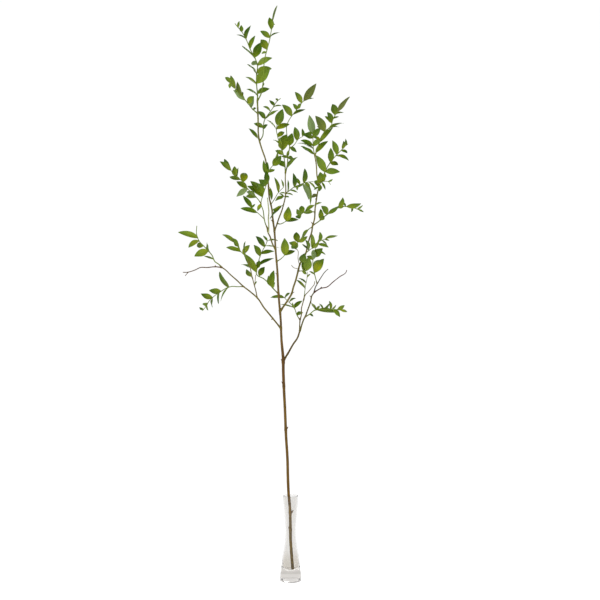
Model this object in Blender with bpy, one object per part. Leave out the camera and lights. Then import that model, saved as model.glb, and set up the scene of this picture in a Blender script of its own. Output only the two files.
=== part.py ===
"""A leafy cut branch, a ruscus stem, standing in a clear glass bud vase.

Metres, +Z up. The origin is the middle of the vase's foot. The branch is laid out in a picture plane seen
level from the front, along +Y: u runs right and v runs down, and each twig has a depth of its own.
"""

import math
import random

import bpy
from mathutils import Vector
from mathutils.bvhtree import BVHTree

# Driving dimensions.
UNIT = 0.00225  # one unit of the picture, on the plane of the vase's axis
EYE_DISTANCE = 1050 * UNIT
EYE_U, EYE_V = 300.0, 300.0
AXIS_U, FOOT_V = 290.7, 580.4  # where the vase's axis meets its foot

VASE_HEIGHT = 0.191
VASE_WALL = 0.0028
VASE_FLOOR = 0.0240
VASE_SIDES = 20
VASE_OUTSIDE = [  # radius, height
    (0.0218, 0.0),
    (0.0235, 0.004),
    (0.0236, 0.012),
    (0.0213, 0.028),
    (0.0185, 0.055),
    (0.0150, 0.076),
    (0.0127, 0.095),
    (0.0120, 0.109),
    (0.0134, 0.134),
    (0.0155, 0.160),
    (0.0170, 0.1895),
]
VASE_BOWL_RADIUS = 0.0150  # of the flat floor inside
VASE_BOWL_ROUNDING = (0.0022, 0.006)  # how far out and up the floor turns into the wall
VASE_WALL_START = 0.012  # the inner wall follows the outer one from this far above the floor

GAP = 0.0003
STUB_REACH = 0.0018  # how far the woody stub stands out of its parent
COLLAR = 1.25  # stub radius over twig radius
TWIG_TIP = 0.6  # radius at a twig's end over that at its start
MAIN_SIDES, BRANCH_SIDES, TWIG_SIDES, BUD_SIDES = 6, 4, 4, 3

BLADE_THICKNESS = 0.0007
BLADE_SLENDER = 0.50  # true width over true length
BLADE_FULLNESS = 1.22  # a blade is this much wider than it looks
STALK_WIDTH = 0.0007
SMALLEST_LEAF = 0.0135
# How wide a blade is along its length, as shares of its length and full width, by its least length.
OUTLINES = [
    (0.040, [(0.20, 0.76), (0.44, 1.0), (0.74, 0.62)]),
    (0.024, [(0.30, 0.95), (0.66, 0.72)]),
    (0.0, [(0.42, 0.95)]),
]
LEAF_ARCH = 0.28  # how much a leaf sets off along its twig before it bends out
LEAF_ROOT_SHARE = 0.14  # the part of a leaf that may lie against its own twig
# A leaf's tip lies in front of its base or behind it, between these shares of its length.
LEAST_SWING, MOST_SWING = 0.3, 0.75
SWING_FACTORS = (1, -1, 0.6, -0.6, 0.25, -0.25, 1.4, -1.4, 1.8, -1.8)
CLEARANCE = 0.0012  # kept between pieces that cross in the picture
BUD_FORWARD = 0.001
BUD_TIP = 0.5  # radius at a bud's end over that at its base
TWIG_LEAD = 0.0015  # the straight start of a twig, square to its stub
TWIG_SPARE = 1.6  # its first bend lies this many leads past its stub

# The main stem: u, v, depth.
MAIN = [
    (292.8, 570.3, -0.0073), (292.0, 560, -0.0058), (290.6, 540, -0.0020), (290.3, 520, 0.0025),
    (289.9, 508, 0.0060), (288.7, 495, 0.0094), (288.0, 480, 0.0125), (287.5, 460, 0.0160),
    (286.0, 435, 0.0195), (285.0, 410, 0.0225), (284.0, 390, 0.0250), (283.3, 370, 0.0270),
    (283.2, 360, 0.0280), (281.5, 340, 0.0295), (280.7, 320, 0.0300), (279.0, 300, 0.0300),
    (278.3, 290, 0.0297), (277.3, 270, 0.0287), (275.6, 250, 0.0273), (274.5, 232, 0.0258),
    (272.7, 218, 0.0243), (272.0, 210, 0.0235), (269.2, 197, 0.0218), (268.2, 182, 0.0198),
    (266.8, 168, 0.0178), (265.6, 160, 0.0165), (262.2, 150, 0.0150), (259.6, 141.5, 0.0138),
    (258.3, 133, 0.0125), (258.2, 125, 0.0115), (257.7, 108, 0.0090), (257.4, 101, 0.0080),
]
# The main stem's radius at heights v.
MAIN_RADII = [
    (568.8, 0.0032), (480, 0.0032), (400, 0.0031), (360, 0.0035), (345, 0.0029), (320, 0.0025), (280, 0.0024),
    (250, 0.0021), (230, 0.0022), (210, 0.0019), (190, 0.0017), (130, 0.0017), (112, 0.0019),
    (101, 0.0018),
]

# Woody branches: name, parent, depth of the far end, radii at start and end, points (u, v).
BRANCHES = [
    ("e", "main", 0.060, 0.0022, 0.0019,
     [(283.6, 361), (288.5, 352.5), (293, 344.5), (297.5, 337.8), (299.8, 331)]),
    ("e_left", "e", 0.066, 0.0015, 0.0014, [(299.8, 331), (299.7, 325), (300, 320)]),
    ("e_inner", "e_left", 0.056, 0.0013, 0.0012,
     [(300, 320), (301.5, 314), (301.5, 308), (302.3, 305), (303.6, 300)]),
    ("e_inner_tip", "e_inner", 0.034, 0.0012, 0.0008,
     [(303.6, 300), (305.3, 295), (307.8, 292.3), (311.5, 288), (314.5, 283.5), (314.7, 281.5)]),
    ("e_right", "e", 0.048, 0.0018, 0.0014,
     [(299.8, 331), (301.3, 326.5), (303.3, 320.5), (305.5, 316), (307.3, 311), (309, 306.5),
      (310.8, 301), (311.5, 296.5), (314.2, 292.3)]),
    ("bare_right", "e_right", -0.005, 0.0014, 0.0009,
     [(314.2, 292.3), (317, 290.5), (320.5, 288.5), (327, 287), (333, 282), (340, 276.5), (346, 272.3),
      (346.7, 270.3)]),
    ("bare_middle", "e_right", 0.075, 0.0013, 0.0009,
     [(314.2, 292.3), (315.3, 287.5), (317.2, 284), (321, 277.5), (326, 270.8), (328, 269.2)]),
    ("d", "main", -0.055, 0.0022, 0.0013,
     [(280.7, 311.5), (284, 305.8), (288, 300), (291.5, 294), (293.3, 287.5), (295.5, 281),
      (298, 271.5), (299.8, 264.5), (303.5, 258), (306.5, 251), (307.3, 246), (309.7, 238),
      (311.5, 233), (312.7, 225.5), (314.5, 219), (315, 210), (316.3, 200), (317.5, 193), (318.8, 186),
      (317, 176), (316.3, 165), (314.8, 156)]),
    ("a", "main", -0.062, 0.0019, 0.0013,
     [(280.8, 328.5), (276.5, 323), (270, 315), (263.5, 307), (258.5, 299.3), (250, 291.5),
      (243.5, 286.5), (236, 279.5), (230, 274.3), (225, 269.5), (222, 267.5)]),
    ("a_bare", "a", -0.100, 0.0013, 0.0009,
     [(222, 267.5), (215.5, 266.8), (207, 267.5), (200.5, 267.5), (195, 270), (187, 272.3),
      (183.2, 272.3)]),
    ("a_bare_fork", "a_bare", -0.094, 0.0008, 0.0007, [(188.5, 272), (185.3, 275.7)]),
    ("a_up", "a", 0.010, 0.0012, 0.0010,
     [(257.3, 298), (256, 291.5), (254, 284), (252.7, 279), (250.5, 269), (249.3, 263)]),
    ("a_up_twig", "a_up", -0.018, 0.0008, 0.0007, [(254.5, 286), (255.2, 280), (255.6, 275)]),
    ("s1", "main", 0.004, 0.0017, 0.0016,
     [(274.8, 249.5), (272.5, 244), (270.2, 237), (267.7, 231.5), (267.3, 228)]),
    ("s1_pale", "s1", -0.004, 0.0016, 0.0011,
     [(268.4, 232.6), (268.8, 226), (268.4, 219), (268.8, 211), (268.2, 205), (267.5, 198)]),
    ("s2", "main", 0.036, 0.0016, 0.0013,
     [(274.7, 231), (276.5, 225.5), (279, 218), (281.7, 211), (283.7, 204), (285.3, 197), (285.8, 190),
      (285.3, 180), (285.4, 173.5)]),
    ("d_thin", "d", -0.050, 0.0008, 0.0007, [(299.6, 265.5), (298, 258), (298, 251), (295, 247.3)]),
    ("d_scale", "d", -0.070, 0.0007, 0.0007, [(298.5, 269), (293.3, 267.3), (291.5, 265.3)]),
]
# Buds and cut stubs on the woody stem: parent, base (u, v), tip (u, v), radius.
BUDS = [
    ("main", (291.0, 513.0), (293.4, 509.9), 0.0018),
    ("main", (290.2, 529.8), (288.3, 526.7), 0.0016),
    ("main", (286.0, 429.5), (288.4, 426.6), 0.0016),
    ("main", (284.0, 386.0), (281.5, 381.3), 0.0015),
    ("main", (283.3, 362.0), (280.7, 359.0), 0.0017),
    ("main", (280.7, 313.5), (278.5, 310.4), 0.0014),
    ("main", (277.6, 275.0), (275.3, 272.8), 0.0010),
    ("main", (273.0, 221.5), (270.6, 219.6), 0.0010),
    ("e", (287.6, 354.0), (289.6, 350.3), 0.0010),
    ("d", (291.5, 294.0), (294.6, 291.8), 0.0008),
]

# Leafy sprays: name, parent, depth of the far end, radius at the start, twig points (u, v), leaves.
# A leaf is base u, base v, tip u, tip v, width seen, and the share of its true width that is seen,
# which is below 0 where its underside is seen.
SPRAYS = [
    ("leader_left", "main", 0.045, 0.0014,
     [(257.4, 101), (257.5, 94.5), (256.6, 84.8), (256.6, 74.6), (257.5, 65), (254.7, 57.5),
      (250.4, 49.7), (246.3, 39.7), (242.3, 32.5), (236.3, 25.3), (235, 23.5)],
     [(255.5, 95.7, 246.5, 88.5, 1.7, .35), (258.8, 93.7, 269.8, 88.3, 4.3, .8),
      (255, 84.3, 245.5, 76.6, 2.2, .45), (258, 83.5, 270, 69, 8, 1),
      (255.3, 74.3, 247.5, 63.7, 1.6, .32), (257.8, 73.5, 271.8, 68.2, 6, .9),
      (258.5, 65.5, 272, 57.6, 5, .85), (256.8, 64.5, 251, 62.8, 4.2, -.9),
      (254.5, 58.5, 241.8, 46, 1.5, .28), (256, 57, 261.5, 42.5, 7, 1),
      (251.3, 48.7, 254.7, 35, 3.8, .65), (247, 38.5, 250.7, 24.5, 3.5, .6),
      (245.3, 39.3, 236.5, 34.5, 1.2, .3), (242.3, 31.7, 241.3, 25, 3.5, 1),
      (239.5, 26.5, 239.4, 21, 2.2, .9)]),
    ("leader_right", "main", -0.030, 0.0014,
     [(257.4, 101), (260.8, 94.5), (262.8, 85.5), (263.6, 72), (264.5, 60), (267, 49.7), (269.3, 41.5),
      (270.5, 35), (272, 25), (272.1, 21.5)],
     [(262.8, 86, 264.3, 83.3, 1.6, .9), (263, 58.5, 268, 57.4, 1.8, .9), (266, 52, 261.5, 53.7, 2, .9),
      (267, 49.5, 260.6, 39.6, 6.2, 1), (269, 37.8, 260.1, 31, 4.4, .95), (271, 37, 280, 32, 1.2, .3),
      (271.3, 29.5, 269.5, 17, 5, .95), (272.3, 25.3, 275, 24.2, 1.4, .9),
      (272.1, 22, 277.3, 5.5, 1.9, .35)]),
    ("upper_left", "main", -0.055, 0.0013,
     [(257.8, 113.5), (253.5, 110), (247.3, 102.7), (241.5, 96), (236, 89.8), (231.3, 82.5)],
     [(252.8, 109.5, 256.2, 108.2, 2, .9), (251.8, 107, 253.5, 96.5, 4, -.9),
      (248.3, 103, 254, 96.4, 5, .95), (244.8, 100.5, 233.3, 90.2, 4.5, -.85),
      (242, 97, 236.8, 81.5, 3.8, .75), (242, 97, 242.6, 91.8, 2.5, .9), (240, 91, 235, 89.6, 1.8, .9),
      (235.2, 89, 230.3, 75.2, 4.5, .9), (231.3, 82.5, 225, 77.3, 3.5, .8),
      (231.3, 82.5, 229.6, 88.6, 2.5, .9)]),
    ("main_leaf", "main", 0.002, 0.0011,
     [(259.5, 141), (257.8, 138.2)],
     [(258, 138, 248.8, 128, 3, .75)]),
    ("upper_right", "main", 0.055, 0.0013,
     [(259.6, 141), (262.4, 136.6), (263.4, 126), (264.7, 119.5), (268.3, 114.3), (272.5, 108.5),
      (277.5, 100.8), (280.6, 98.4)],
     [(261.7, 131, 267.3, 124.7, 1.9, .4), (262.8, 127.8, 253.7, 123.3, 3.8, .9),
      (264.5, 118.3, 257.8, 111.4, 4, .85), (265.5, 119, 278.3, 110, 2, .35),
      (269.6, 111, 263.3, 106.3, 2, .5), (273.5, 105.5, 269.2, 100.2, 2.8, .8),
      (274.3, 107.5, 281.8, 105.7, 1.2, .4), (277.5, 101, 275.8, 98.2, 2, .9)]),
    ("centre_left", "s2", -0.022, 0.0013,
     [(285.4, 173.5), (284.6, 162), (283.3, 154.5), (280.4, 145.5), (277.5, 136), (276.4, 129.5),
      (277.2, 124.9)],
     [(284.6, 167, 277.3, 161, 4.6, .9), (284.2, 154.8, 275.3, 150.4, 3.8, .9),
      (284, 150, 286.6, 134, 8, 1), (279.6, 150, 279.3, 137, 3.2, .6),
      (278.6, 145, 273.2, 139.6, 1.5, .4), (279.5, 136.7, 284.5, 131.7, 4, .9),
      (276.3, 130, 266.9, 119.2, 1.2, .25), (278, 129.3, 289.8, 124, 4.3, .85),
      (277.2, 125.2, 282.7, 109, 7.3, 1)]),
    ("centre_right", "s2", 0.072, 0.0013,
     [(285.4, 173.5), (287.3, 165), (288, 155.5), (289.6, 147), (286.8, 134), (286.8, 125.5),
      (291, 117), (295.5, 111.3), (299.5, 105.5), (303.8, 100.8)],
     [(287, 169, 297.3, 156.5, 2.8, .5), (287.5, 158, 294.5, 160.3, 3.6, .8),
      (287.3, 157.5, 281.5, 156.5, 2.4, .9), (290.3, 147.5, 296.7, 152.3, 3.4, .9),
      (288.6, 150.3, 286.8, 158, 2.4, .9), (288.8, 145.8, 292.2, 133.4, 6.5, 1),
      (291, 115.8, 282.2, 104.6, 5.5, .95), (293, 114.5, 305.5, 109.2, 2.6, .5),
      (296, 109.3, 293, 104, 3.2, .9), (297, 108.5, 301.3, 103.5, 3, .8),
      (301, 102.8, 294.9, 91.9, 4.7, .9), (303, 101.5, 313.8, 97.7, 1.4, .3),
      (303.7, 101, 316, 83.7, 6.5, 1)]),
    ("centre_side", "centre_right", 0.030, 0.0010,
     [(289.7, 148.5), (293.8, 145.2), (298.5, 139), (302.8, 136.4)],
     [(296, 140, 294.6, 126.8, 5.5, 1), (302.4, 136.5, 302.2, 128.5, 2.7, .8)]),
    ("d_end_left", "d", -0.030, 0.0011,
     [(314.8, 156), (313.3, 148), (313, 140.5), (312.8, 134)],
     [(314.2, 154.5, 300.5, 146.3, 2.7, .5), (313.4, 149, 297.3, 142.2, 1.7, .35),
      (314, 145.8, 300.7, 140.2, 3.4, .7), (314, 146, 320.8, 139.3, 4.2, .9),
      (312.3, 138.2, 303, 134.5, 4.5, .9), (315, 137.5, 320.7, 128, 5, .95),
      (311.5, 132.5, 307.5, 132.3, 1.8, .9), (312.8, 134.3, 309.2, 115, 6.3, -1)]),
    ("d_end_right", "d", -0.100, 0.0013,
     [(314.8, 156), (318.5, 145), (321, 138.5), (324.5, 131.5), (331, 126.2), (332.5, 120.5),
      (334.8, 115.5), (337.4, 111.5)],
     [(316.5, 153, 327.8, 140.3, 4.3, .65), (319.8, 142.5, 333, 127, 4, .8),
      (324.3, 131, 315.2, 115.8, 6.6, 1), (324, 131, 316.8, 126.2, 2.5, .9),
      (329.5, 128.5, 344, 122.5, 2, .4), (328, 130, 339.3, 126.4, 1.5, .4),
      (329.8, 122.5, 324.8, 116.2, 3, .8), (331.5, 120.5, 327.2, 112.2, 4, .9),
      (334.2, 114.5, 332.5, 104, 5.8, 1), (336, 114.7, 343.8, 112.3, 1.6, .4),
      (334, 119.5, 339, 116.5, 1.6, .5), (320.8, 140.3, 313, 137, 2.4, .8),
      (337.2, 111.8, 349.7, 96.5, 3.8, .55)]),
    ("far_right", "d", 0.010, 0.0013,
     [(318.8, 186), (322.5, 178.8), (325.8, 170), (330, 163), (335.8, 155.8), (341.5, 150),
      (346, 145.5), (348, 144)],
     [(324.5, 172, 315.8, 155.3, 6.5, 1), (327, 172.5, 340, 172, 5.3, .95),
      (325.5, 173.7, 322.3, 180.3, 4, .9), (329.8, 162, 330.7, 147.8, 5.3, 1),
      (331, 163.5, 338.3, 165, 3.8, .9), (335.8, 154, 332.2, 140.2, 5, .9),
      (337, 156.5, 349, 160, 2.7, .55), (342, 148.8, 343.9, 141, 3, .8),
      (342, 151, 347.3, 153, 2.5, .7), (345.6, 145, 345.5, 138.6, 2, .7),
      (321, 181.5, 325.3, 189.8, 1.8, .9)]),
    ("far_right_low", "d", -0.085, 0.0010,
     [(318.8, 186), (321, 182.3), (325, 181.3), (328, 181.5), (330.5, 184.5)],
     [(321, 182, 320, 172, 7, 1), (328.3, 181.3, 333, 179, 1.6, .9),
      (319.6, 184, 319.2, 191.5, 3.6, .9), (320.6, 182.8, 313.8, 181.2, 2.4, .8)]),
    ("arched", "s2", 0.075, 0.0011,
     [(285.5, 193.5), (288.5, 191.3), (293.5, 187.5), (300, 184.5), (306, 182.4), (313.5, 181.5)],
     [(287.7, 192, 287.7, 179.5, 1.5, .5), (290, 190.5, 298, 192.5, 1.5, .6),
      (294, 186.5, 293.2, 173, 4, .8), (299.5, 184.3, 294.7, 177.5, 3, .9),
      (303.8, 183.5, 304.8, 168.5, 4.4, .85), (296.8, 186, 297, 190.5, 2, .9),
      (302.5, 184, 309.5, 200, 4.3, -.8), (304, 183.5, 293.6, 187.9, 2, .6),
      (306, 183, 309.8, 187.8, 2.4, .9), (309, 182.5, 316.8, 190.7, 1.6, .5),
      (306.5, 183, 310.5, 205.3, 3, .7), (305, 183.5, 309.6, 191.6, 3, .8)]),
    ("s2_node_left", "s2", 0.012, 0.0010,
     [(285.4, 197), (283.6, 195.8)],
     [(283.8, 196, 275, 200.5, 3.1, .7), (283.8, 195.8, 279, 193.5, 1.2, .6)]),
    ("d_left", "d", -0.085, 0.0011,
     [(314.9, 212), (310, 211.7), (302.5, 213.3), (301, 214.7)],
     [(313, 211.7, 303, 212.2, 3.8, .85), (303.3, 213, 301.5, 205.3, 4.7, 1),
      (301.6, 214.4, 296.8, 209.6, 4.4, .9), (301.5, 214.8, 295.8, 218, 3.5, .9)]),
    ("d_node_left", "d", -0.060, 0.0010,
     [(315.7, 205), (313.8, 205.2)],
     [(314, 205.2, 304.8, 211, 3, .8), (315.2, 205, 321.8, 202.2, 1.5, .5)]),
    ("d_right", "d", 0.012, 0.0013,
     [(312.9, 225.3), (318, 222), (323, 217.8), (327.3, 214.3), (336, 208.8), (344.5, 206.5),
      (351, 207), (358.5, 209.6)],
     [(319.8, 219, 320.5, 208.8, 4.4, 1), (320, 220.3, 324.2, 216, 3.5, .9),
      (327, 213.8, 321.5, 206.2, 5, .9), (328, 214, 338.8, 206.2, 3.6, .85),
      (338.3, 206.5, 343, 197.5, 4.3, .85), (339, 208, 344, 206, 2, .9),
      (345.5, 205.5, 343.4, 202.3, 1.7, .9), (346.5, 205.5, 361, 204, 4.3, .85),
      (352.3, 207.5, 351.3, 212, 1.8, .9), (357, 209, 363, 205, 1.7, .7),
      (358.2, 209.6, 363.7, 212, 1.6, .9)]),
    ("d_low_left", "d", -0.066, 0.0011,
     [(312.5, 226.7), (309, 229), (303.3, 235.5), (298, 242.3), (296, 244.5)],
     [(308.5, 229.8, 301, 238.3, 3, .5), (297.8, 242, 296.5, 231.8, 5.5, 1),
      (298.3, 242.3, 307.7, 236.2, 3.5, .8), (297.3, 242.5, 291.8, 248.8, 5, .9),
      (296, 242.5, 289, 242.5, 4, .9)]),
    ("d_cluster", "d", -0.045, 0.0011,
     [(305.3, 253.7), (308, 251.3), (311, 249), (313, 248.3)],
     [(308.4, 250.5, 306, 239.7, 2.8, .5), (309, 250.5, 301.8, 244, 1.6, .6),
      (312.5, 248.5, 311.7, 233.8, 4, .8), (312.5, 247.5, 317.3, 242.3, 2.5, .9)]),
    ("d_leaf", "d", -0.040, 0.0010,
     [(300.3, 264), (301.8, 262)],
     [(301.6, 262.2, 305, 253.3, 6.4, 1)]),
    ("d_twig_leaf", "d", -0.010, 0.0011,
     [(298.2, 271), (300.5, 271), (303.5, 270.6), (306.3, 270)],
     [(306, 269.8, 308.5, 257, 7, 1), (303.3, 270.4, 303.8, 257.5, 4.8, .9),
      (302, 271, 306.5, 274.2, 2.8, .9), (304, 270.5, 310.5, 268.2, 1.5, .6)]),
    ("middle_spray", "bare_middle", 0.105, 0.0011,
     [(317.2, 284), (315.3, 277), (313.3, 268), (312.8, 262), (314.3, 252.5), (319, 241.8), (325, 239)],
     [(314.5, 275, 309.3, 271.2, 1.4, .6), (315.3, 272.7, 324, 258.7, 7, 1),
      (313, 266, 321, 260.3, 4, -.9), (313, 259.8, 306.5, 256, 3.4, .9),
      (313.5, 259.5, 313.5, 249.5, 4.5, -.9), (315, 257, 322.4, 248.8, 6.8, 1),
      (315.2, 251.3, 325.6, 254.4, 2, .7), (322, 241, 326.9, 244.8, 1.5, .6),
      (319.3, 241, 320, 231.8, 3.5, .85), (324.8, 239, 338, 235.3, 2.3, .5),
      (324.5, 239.3, 329.5, 240.7, 1.5, .9), (318.3, 244.3, 328.7, 247.5, 3, .7),
      (316.5, 248, 319, 238, 1.7, .5)]),
    ("right_spray", "e_right", 0.005, 0.0013,
     [(305.2, 317), (309.5, 314.3), (314.5, 310.3), (324, 309.5), (337, 309.6), (341, 310.3)],
     [(309.5, 314, 313.5, 316.5, 1.8, .9), (314.5, 310, 320, 305.5, 2.3, .7),
      (317, 309.6, 337.5, 312, 4, .7), (323.5, 309, 330, 303.2, 2, .7),
      (330.5, 309, 329.3, 300.8, 2.5, .7), (322.8, 309.3, 319, 303.2, 1.5, .6),
      (331.5, 309, 336.3, 304.8, 1.5, .6), (337, 309.3, 344.8, 305.3, 3.4, .9),
      (333.5, 310, 340, 316.9, 3.7, .9), (340.5, 310.3, 347.6, 311.7, 2.3, .9)]),
    ("e_right_leaf", "e_right", 0.030, 0.0010,
     [(310.5, 302.5), (312.2, 303.6)],
     [(312, 303.6, 316, 310, 2.4, .6)]),
    ("pale_shoot", "e_inner", 0.080, 0.0010,
     [(303.6, 300), (304.5, 294), (305.5, 285.5), (307, 278.5), (307.3, 272)],
     [(304.8, 288.5, 296.3, 280.2, 2.3, .45), (305.8, 283, 298.2, 278, 1.6, .5),
      (307.2, 277.5, 310.3, 274, 1.4, .7)]),
    ("low_left", "e_left", 0.082, 0.0011,
     [(300, 320), (296.8, 314.8), (294.8, 309), (291.5, 304.5), (286.5, 300), (284, 297.3)],
     [(297, 315.3, 303.4, 312.2, 3.3, .8), (294.5, 308, 302.4, 300.7, 3.5, .75),
      (294.5, 309, 292.3, 302.5, 1.8, .7), (293.5, 308.3, 280.5, 304.3, 1.3, .35),
      (289.8, 301.8, 295.6, 298, 1.8, .5), (284.5, 297.5, 270, 297.5, 3, .6),
      (284.7, 298, 290, 292.8, 2, .6)]),
    ("main_right", "main", -0.004, 0.0013,
     [(277, 261.5), (280, 259.5), (283, 257), (284.6, 255.2)],
     [(284.2, 254.8, 284.5, 238, 7, 1), (284.5, 255, 295.2, 250.3, 3.7, .8)]),
    ("back_left", "main", 0.100, 0.0014,
     [(278.4, 294), (273, 288.3), (268.5, 283), (264, 279), (256.5, 274.3), (257.6, 266.5),
      (259.7, 257.5), (263, 249.7), (265.5, 245.3), (267.3, 240.8)],
     [(271.5, 286.5, 273.8, 270.4, 5.2, .9), (271.5, 286, 268, 275.5, 4, .85),
      (272.8, 288, 274.8, 282.4, 2.7, .9), (259.6, 275.6, 264.8, 266.8, 5.2, 1),
      (256.6, 272.5, 243.4, 253.3, 6, 1), (256.8, 271, 241, 264.3, 2.3, .45),
      (257, 268, 259.9, 260.8, 4, .9), (258, 266, 274.2, 257.9, 3, .55), (259.3, 256, 254, 245, 5, .9),
      (261.5, 254, 274.3, 251.3, 3.5, .7), (264.2, 246.8, 255.5, 236.3, 4.7, .9),
      (266.9, 241, 263, 235.6, 2, .7), (267.2, 241, 278, 240.3, 1.4, .35),
      (265.3, 245.8, 279.5, 248.2, 1.1, .35)]),
    ("a_up_leaf", "a_up", 0.020, 0.0010,
     [(252.5, 278), (250.9, 276.4)],
     [(251.2, 276.6, 246.4, 269.6, 4, .85)]),
    ("a_up_spray", "a_up", 0.045, 0.0011,
     [(249.3, 263), (247, 258), (241.5, 252.3), (238.5, 248.7), (237.5, 246), (236, 243)],
     [(241, 252, 226.3, 247.2, 3.7, .7), (237.7, 246.5, 232.4, 238.3, 4, .8),
      (236.3, 243.5, 222.3, 234.2, 3.5, .7), (243.5, 253.5, 249.8, 245, 4.5, .95),
      (246.5, 256.5, 244.5, 241.3, 1.4, .3), (240, 250.5, 237.9, 242.5, 1.4, .5)]),
    ("a_end", "a", -0.092, 0.0013,
     [(222, 267.5), (218, 263.7), (215.3, 262), (212, 255.3), (207, 249.5), (203.5, 245.8),
      (199, 240.8), (196.5, 233), (196.8, 226)],
     [(207.8, 251.5, 194.3, 256.4, 6, 1), (209.3, 252, 206.7, 242.4, 2.2, .5),
      (203.5, 246, 196.2, 245.5, 4.5, 1), (199, 241, 188, 247.6, 4.1, .9),
      (197.7, 238, 178, 232.4, 4.8, .9), (214.3, 259.5, 203.5, 256, 1.5, .6)]),
    ("a_left", "a", -0.118, 0.0011,
     [(243.5, 286.5), (238, 286.7), (231.5, 286.5), (226.5, 288), (221.5, 291), (215, 295.5),
      (209.5, 300.5), (205.5, 307), (202.5, 310.7)],
     [(228.8, 286.8, 219.3, 271.8, 4, .6), (228.5, 288, 220.3, 301.5, 1.4, .25),
      (221, 291, 209, 290.3, 4.8, 1), (219.6, 293, 218.5, 304, 1.9, .4),
      (212.5, 297.5, 200.8, 293.5, 4.5, .95), (213, 297.5, 211.8, 307.5, 1.5, .4),
      (208, 303.3, 202.3, 304.7, 3, .9), (207, 305, 208, 311, 1.4, .6),
      (203.5, 309.5, 199.2, 307.3, 2, .9)]),
    ("s2_leaf", "s2", -0.005, 0.0013,
     [(277.2, 223.5), (280.5, 224), (283, 223), (286.5, 220.7)],
     [(286.3, 221, 288.5, 207, 6.8, 1), (285.8, 221.3, 298.8, 219.4, 3.5, .75)]),
    ("s2_pair", "s2", -0.005, 0.0010,
     [(283.6, 205), (281.8, 205.8)],
     [(282, 205.7, 271.7, 210.6, 2.8, .6), (282, 205.7, 269.5, 218.5, 2.4, .45)]),
    ("s1_spray", "s1", -0.040, 0.0013,
     [(267.3, 228), (265.3, 223.5), (264.3, 219), (263, 210), (261, 204), (262.7, 196), (265, 189),
      (266.3, 184.5)],
     [(260.8, 203.7, 257.5, 211, 3, .9), (262.8, 195.6, 250.3, 180.8, 6, .95),
      (262.5, 197, 247, 185.2, 5, .85), (263.3, 194, 256.7, 183.1, 6, 1),
      (265.9, 186, 259, 180, 5.8, 1), (266.2, 185, 266.5, 170.5, 4.5, .9)]),
    ("s1_low", "s1_spray", 0.012, 0.0010,
     [(264.5, 219), (259.7, 214.7), (257, 212.3), (252.3, 208.5), (251.7, 207.3)],
     [(257.5, 212.6, 240.5, 208.3, 4, .7), (252, 208, 243, 195.5, 4, .85),
      (252, 208, 255.3, 204, 1.7, .9)]),
    ("left_shoot", "s1_spray", -0.090, 0.0011,
     [(261, 203.5), (258, 199.3), (252.5, 193.5), (247, 188), (242, 181), (235.5, 176), (230.8, 170.2)],
     [(255.5, 196.5, 246.8, 191.7, 4.5, -.9), (256, 197.5, 245.8, 196, 4, .8),
      (247.5, 189.5, 236.5, 196.7, 4.5, -.9), (243.3, 182, 246, 172.3, 6.5, 1),
      (247, 188.5, 236.5, 181, 4.5, .85), (240, 180, 229.5, 177, 3.5, .8),
      (236, 176.5, 234.4, 166.2, 4.5, .9), (237.5, 177, 238.3, 167.5, 2, .7),
      (231, 170.5, 219.9, 161.2, 4, .85), (231.2, 170.3, 224, 158.8, 4, .85)]),
    ("inner_shoot", "main", -0.015, 0.0010,
     [(270.8, 204.5), (273.7, 200.3), (278.5, 192.5), (283.5, 187.3)],
     [(278.3, 192.5, 274.8, 177, 3, .7), (283.3, 187.6, 281, 179, 1.5, .5)]),
    ("main_hanging", "main", 0.008, 0.0010,
     [(268.4, 187), (270.2, 188)],
     [(270, 188, 271.7, 200.5, 2.8, .8)]),
    ("top_left_pair", "main", -0.002, 0.0011,
     [(267.7, 177), (266.6, 174.4)],
     [(266.8, 174.6, 263.2, 160.3, 3.8, .85), (266.8, 174.6, 267.3, 162, 4.5, .9)]),
    ("top_right_leaf", "main", -0.018, 0.0011,
     [(267.6, 174), (269.5, 170), (271.5, 167), (273.3, 165.2)],
     [(272.8, 165.5, 281.3, 155.5, 6.3, 1), (272.5, 166, 278.5, 149.5, 2.5, .6),
      (268.7, 172.4, 274.8, 169.4, 2.8, .8)]),
]


def spot(u, v, depth):
    """The place of a picture point that lies this far behind the plane of the vase's axis."""
    reach = UNIT * (1 + depth / EYE_DISTANCE)
    return Vector((
        (EYE_U - AXIS_U) * UNIT + (u - EYE_U) * reach,
        depth,
        (FOOT_V - EYE_V) * UNIT + (EYE_V - v) * reach,
    ))


def eye():
    """The place from which the picture is seen."""
    return Vector(((EYE_U - AXIS_U) * UNIT, -EYE_DISTANCE, (FOOT_V - EYE_V) * UNIT))


def read_off(table, key):
    """The value at key, on straight lines between the table's (key, value) rows, whose keys fall."""
    for (high, at_high), (low, at_low) in zip(table, table[1:]):
        if key >= low:
            return at_high + (at_low - at_high) * min(1.0, (high - key) / (high - low))
    return table[-1][1]


def nearest(route, u, v):
    """The point (u, v, depth, radius) on the route that is nearest to (u, v) in the picture, and the
    route's direction in space there."""
    best, best_gap = None, math.inf
    for first, second in zip(route, route[1:]):
        du, dv = second[0] - first[0], second[1] - first[1]
        share = ((u - first[0]) * du + (v - first[1]) * dv) / (du * du + dv * dv)
        share = min(1.0, max(0.0, share))
        point = tuple(a + (b - a) * share for a, b in zip(first, second))
        gap = math.hypot(point[0] - u, point[1] - v)
        if gap < best_gap:
            best, best_gap = (point, (spot(*second[:3]) - spot(*first[:3])).normalized()), gap
    return best


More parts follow.
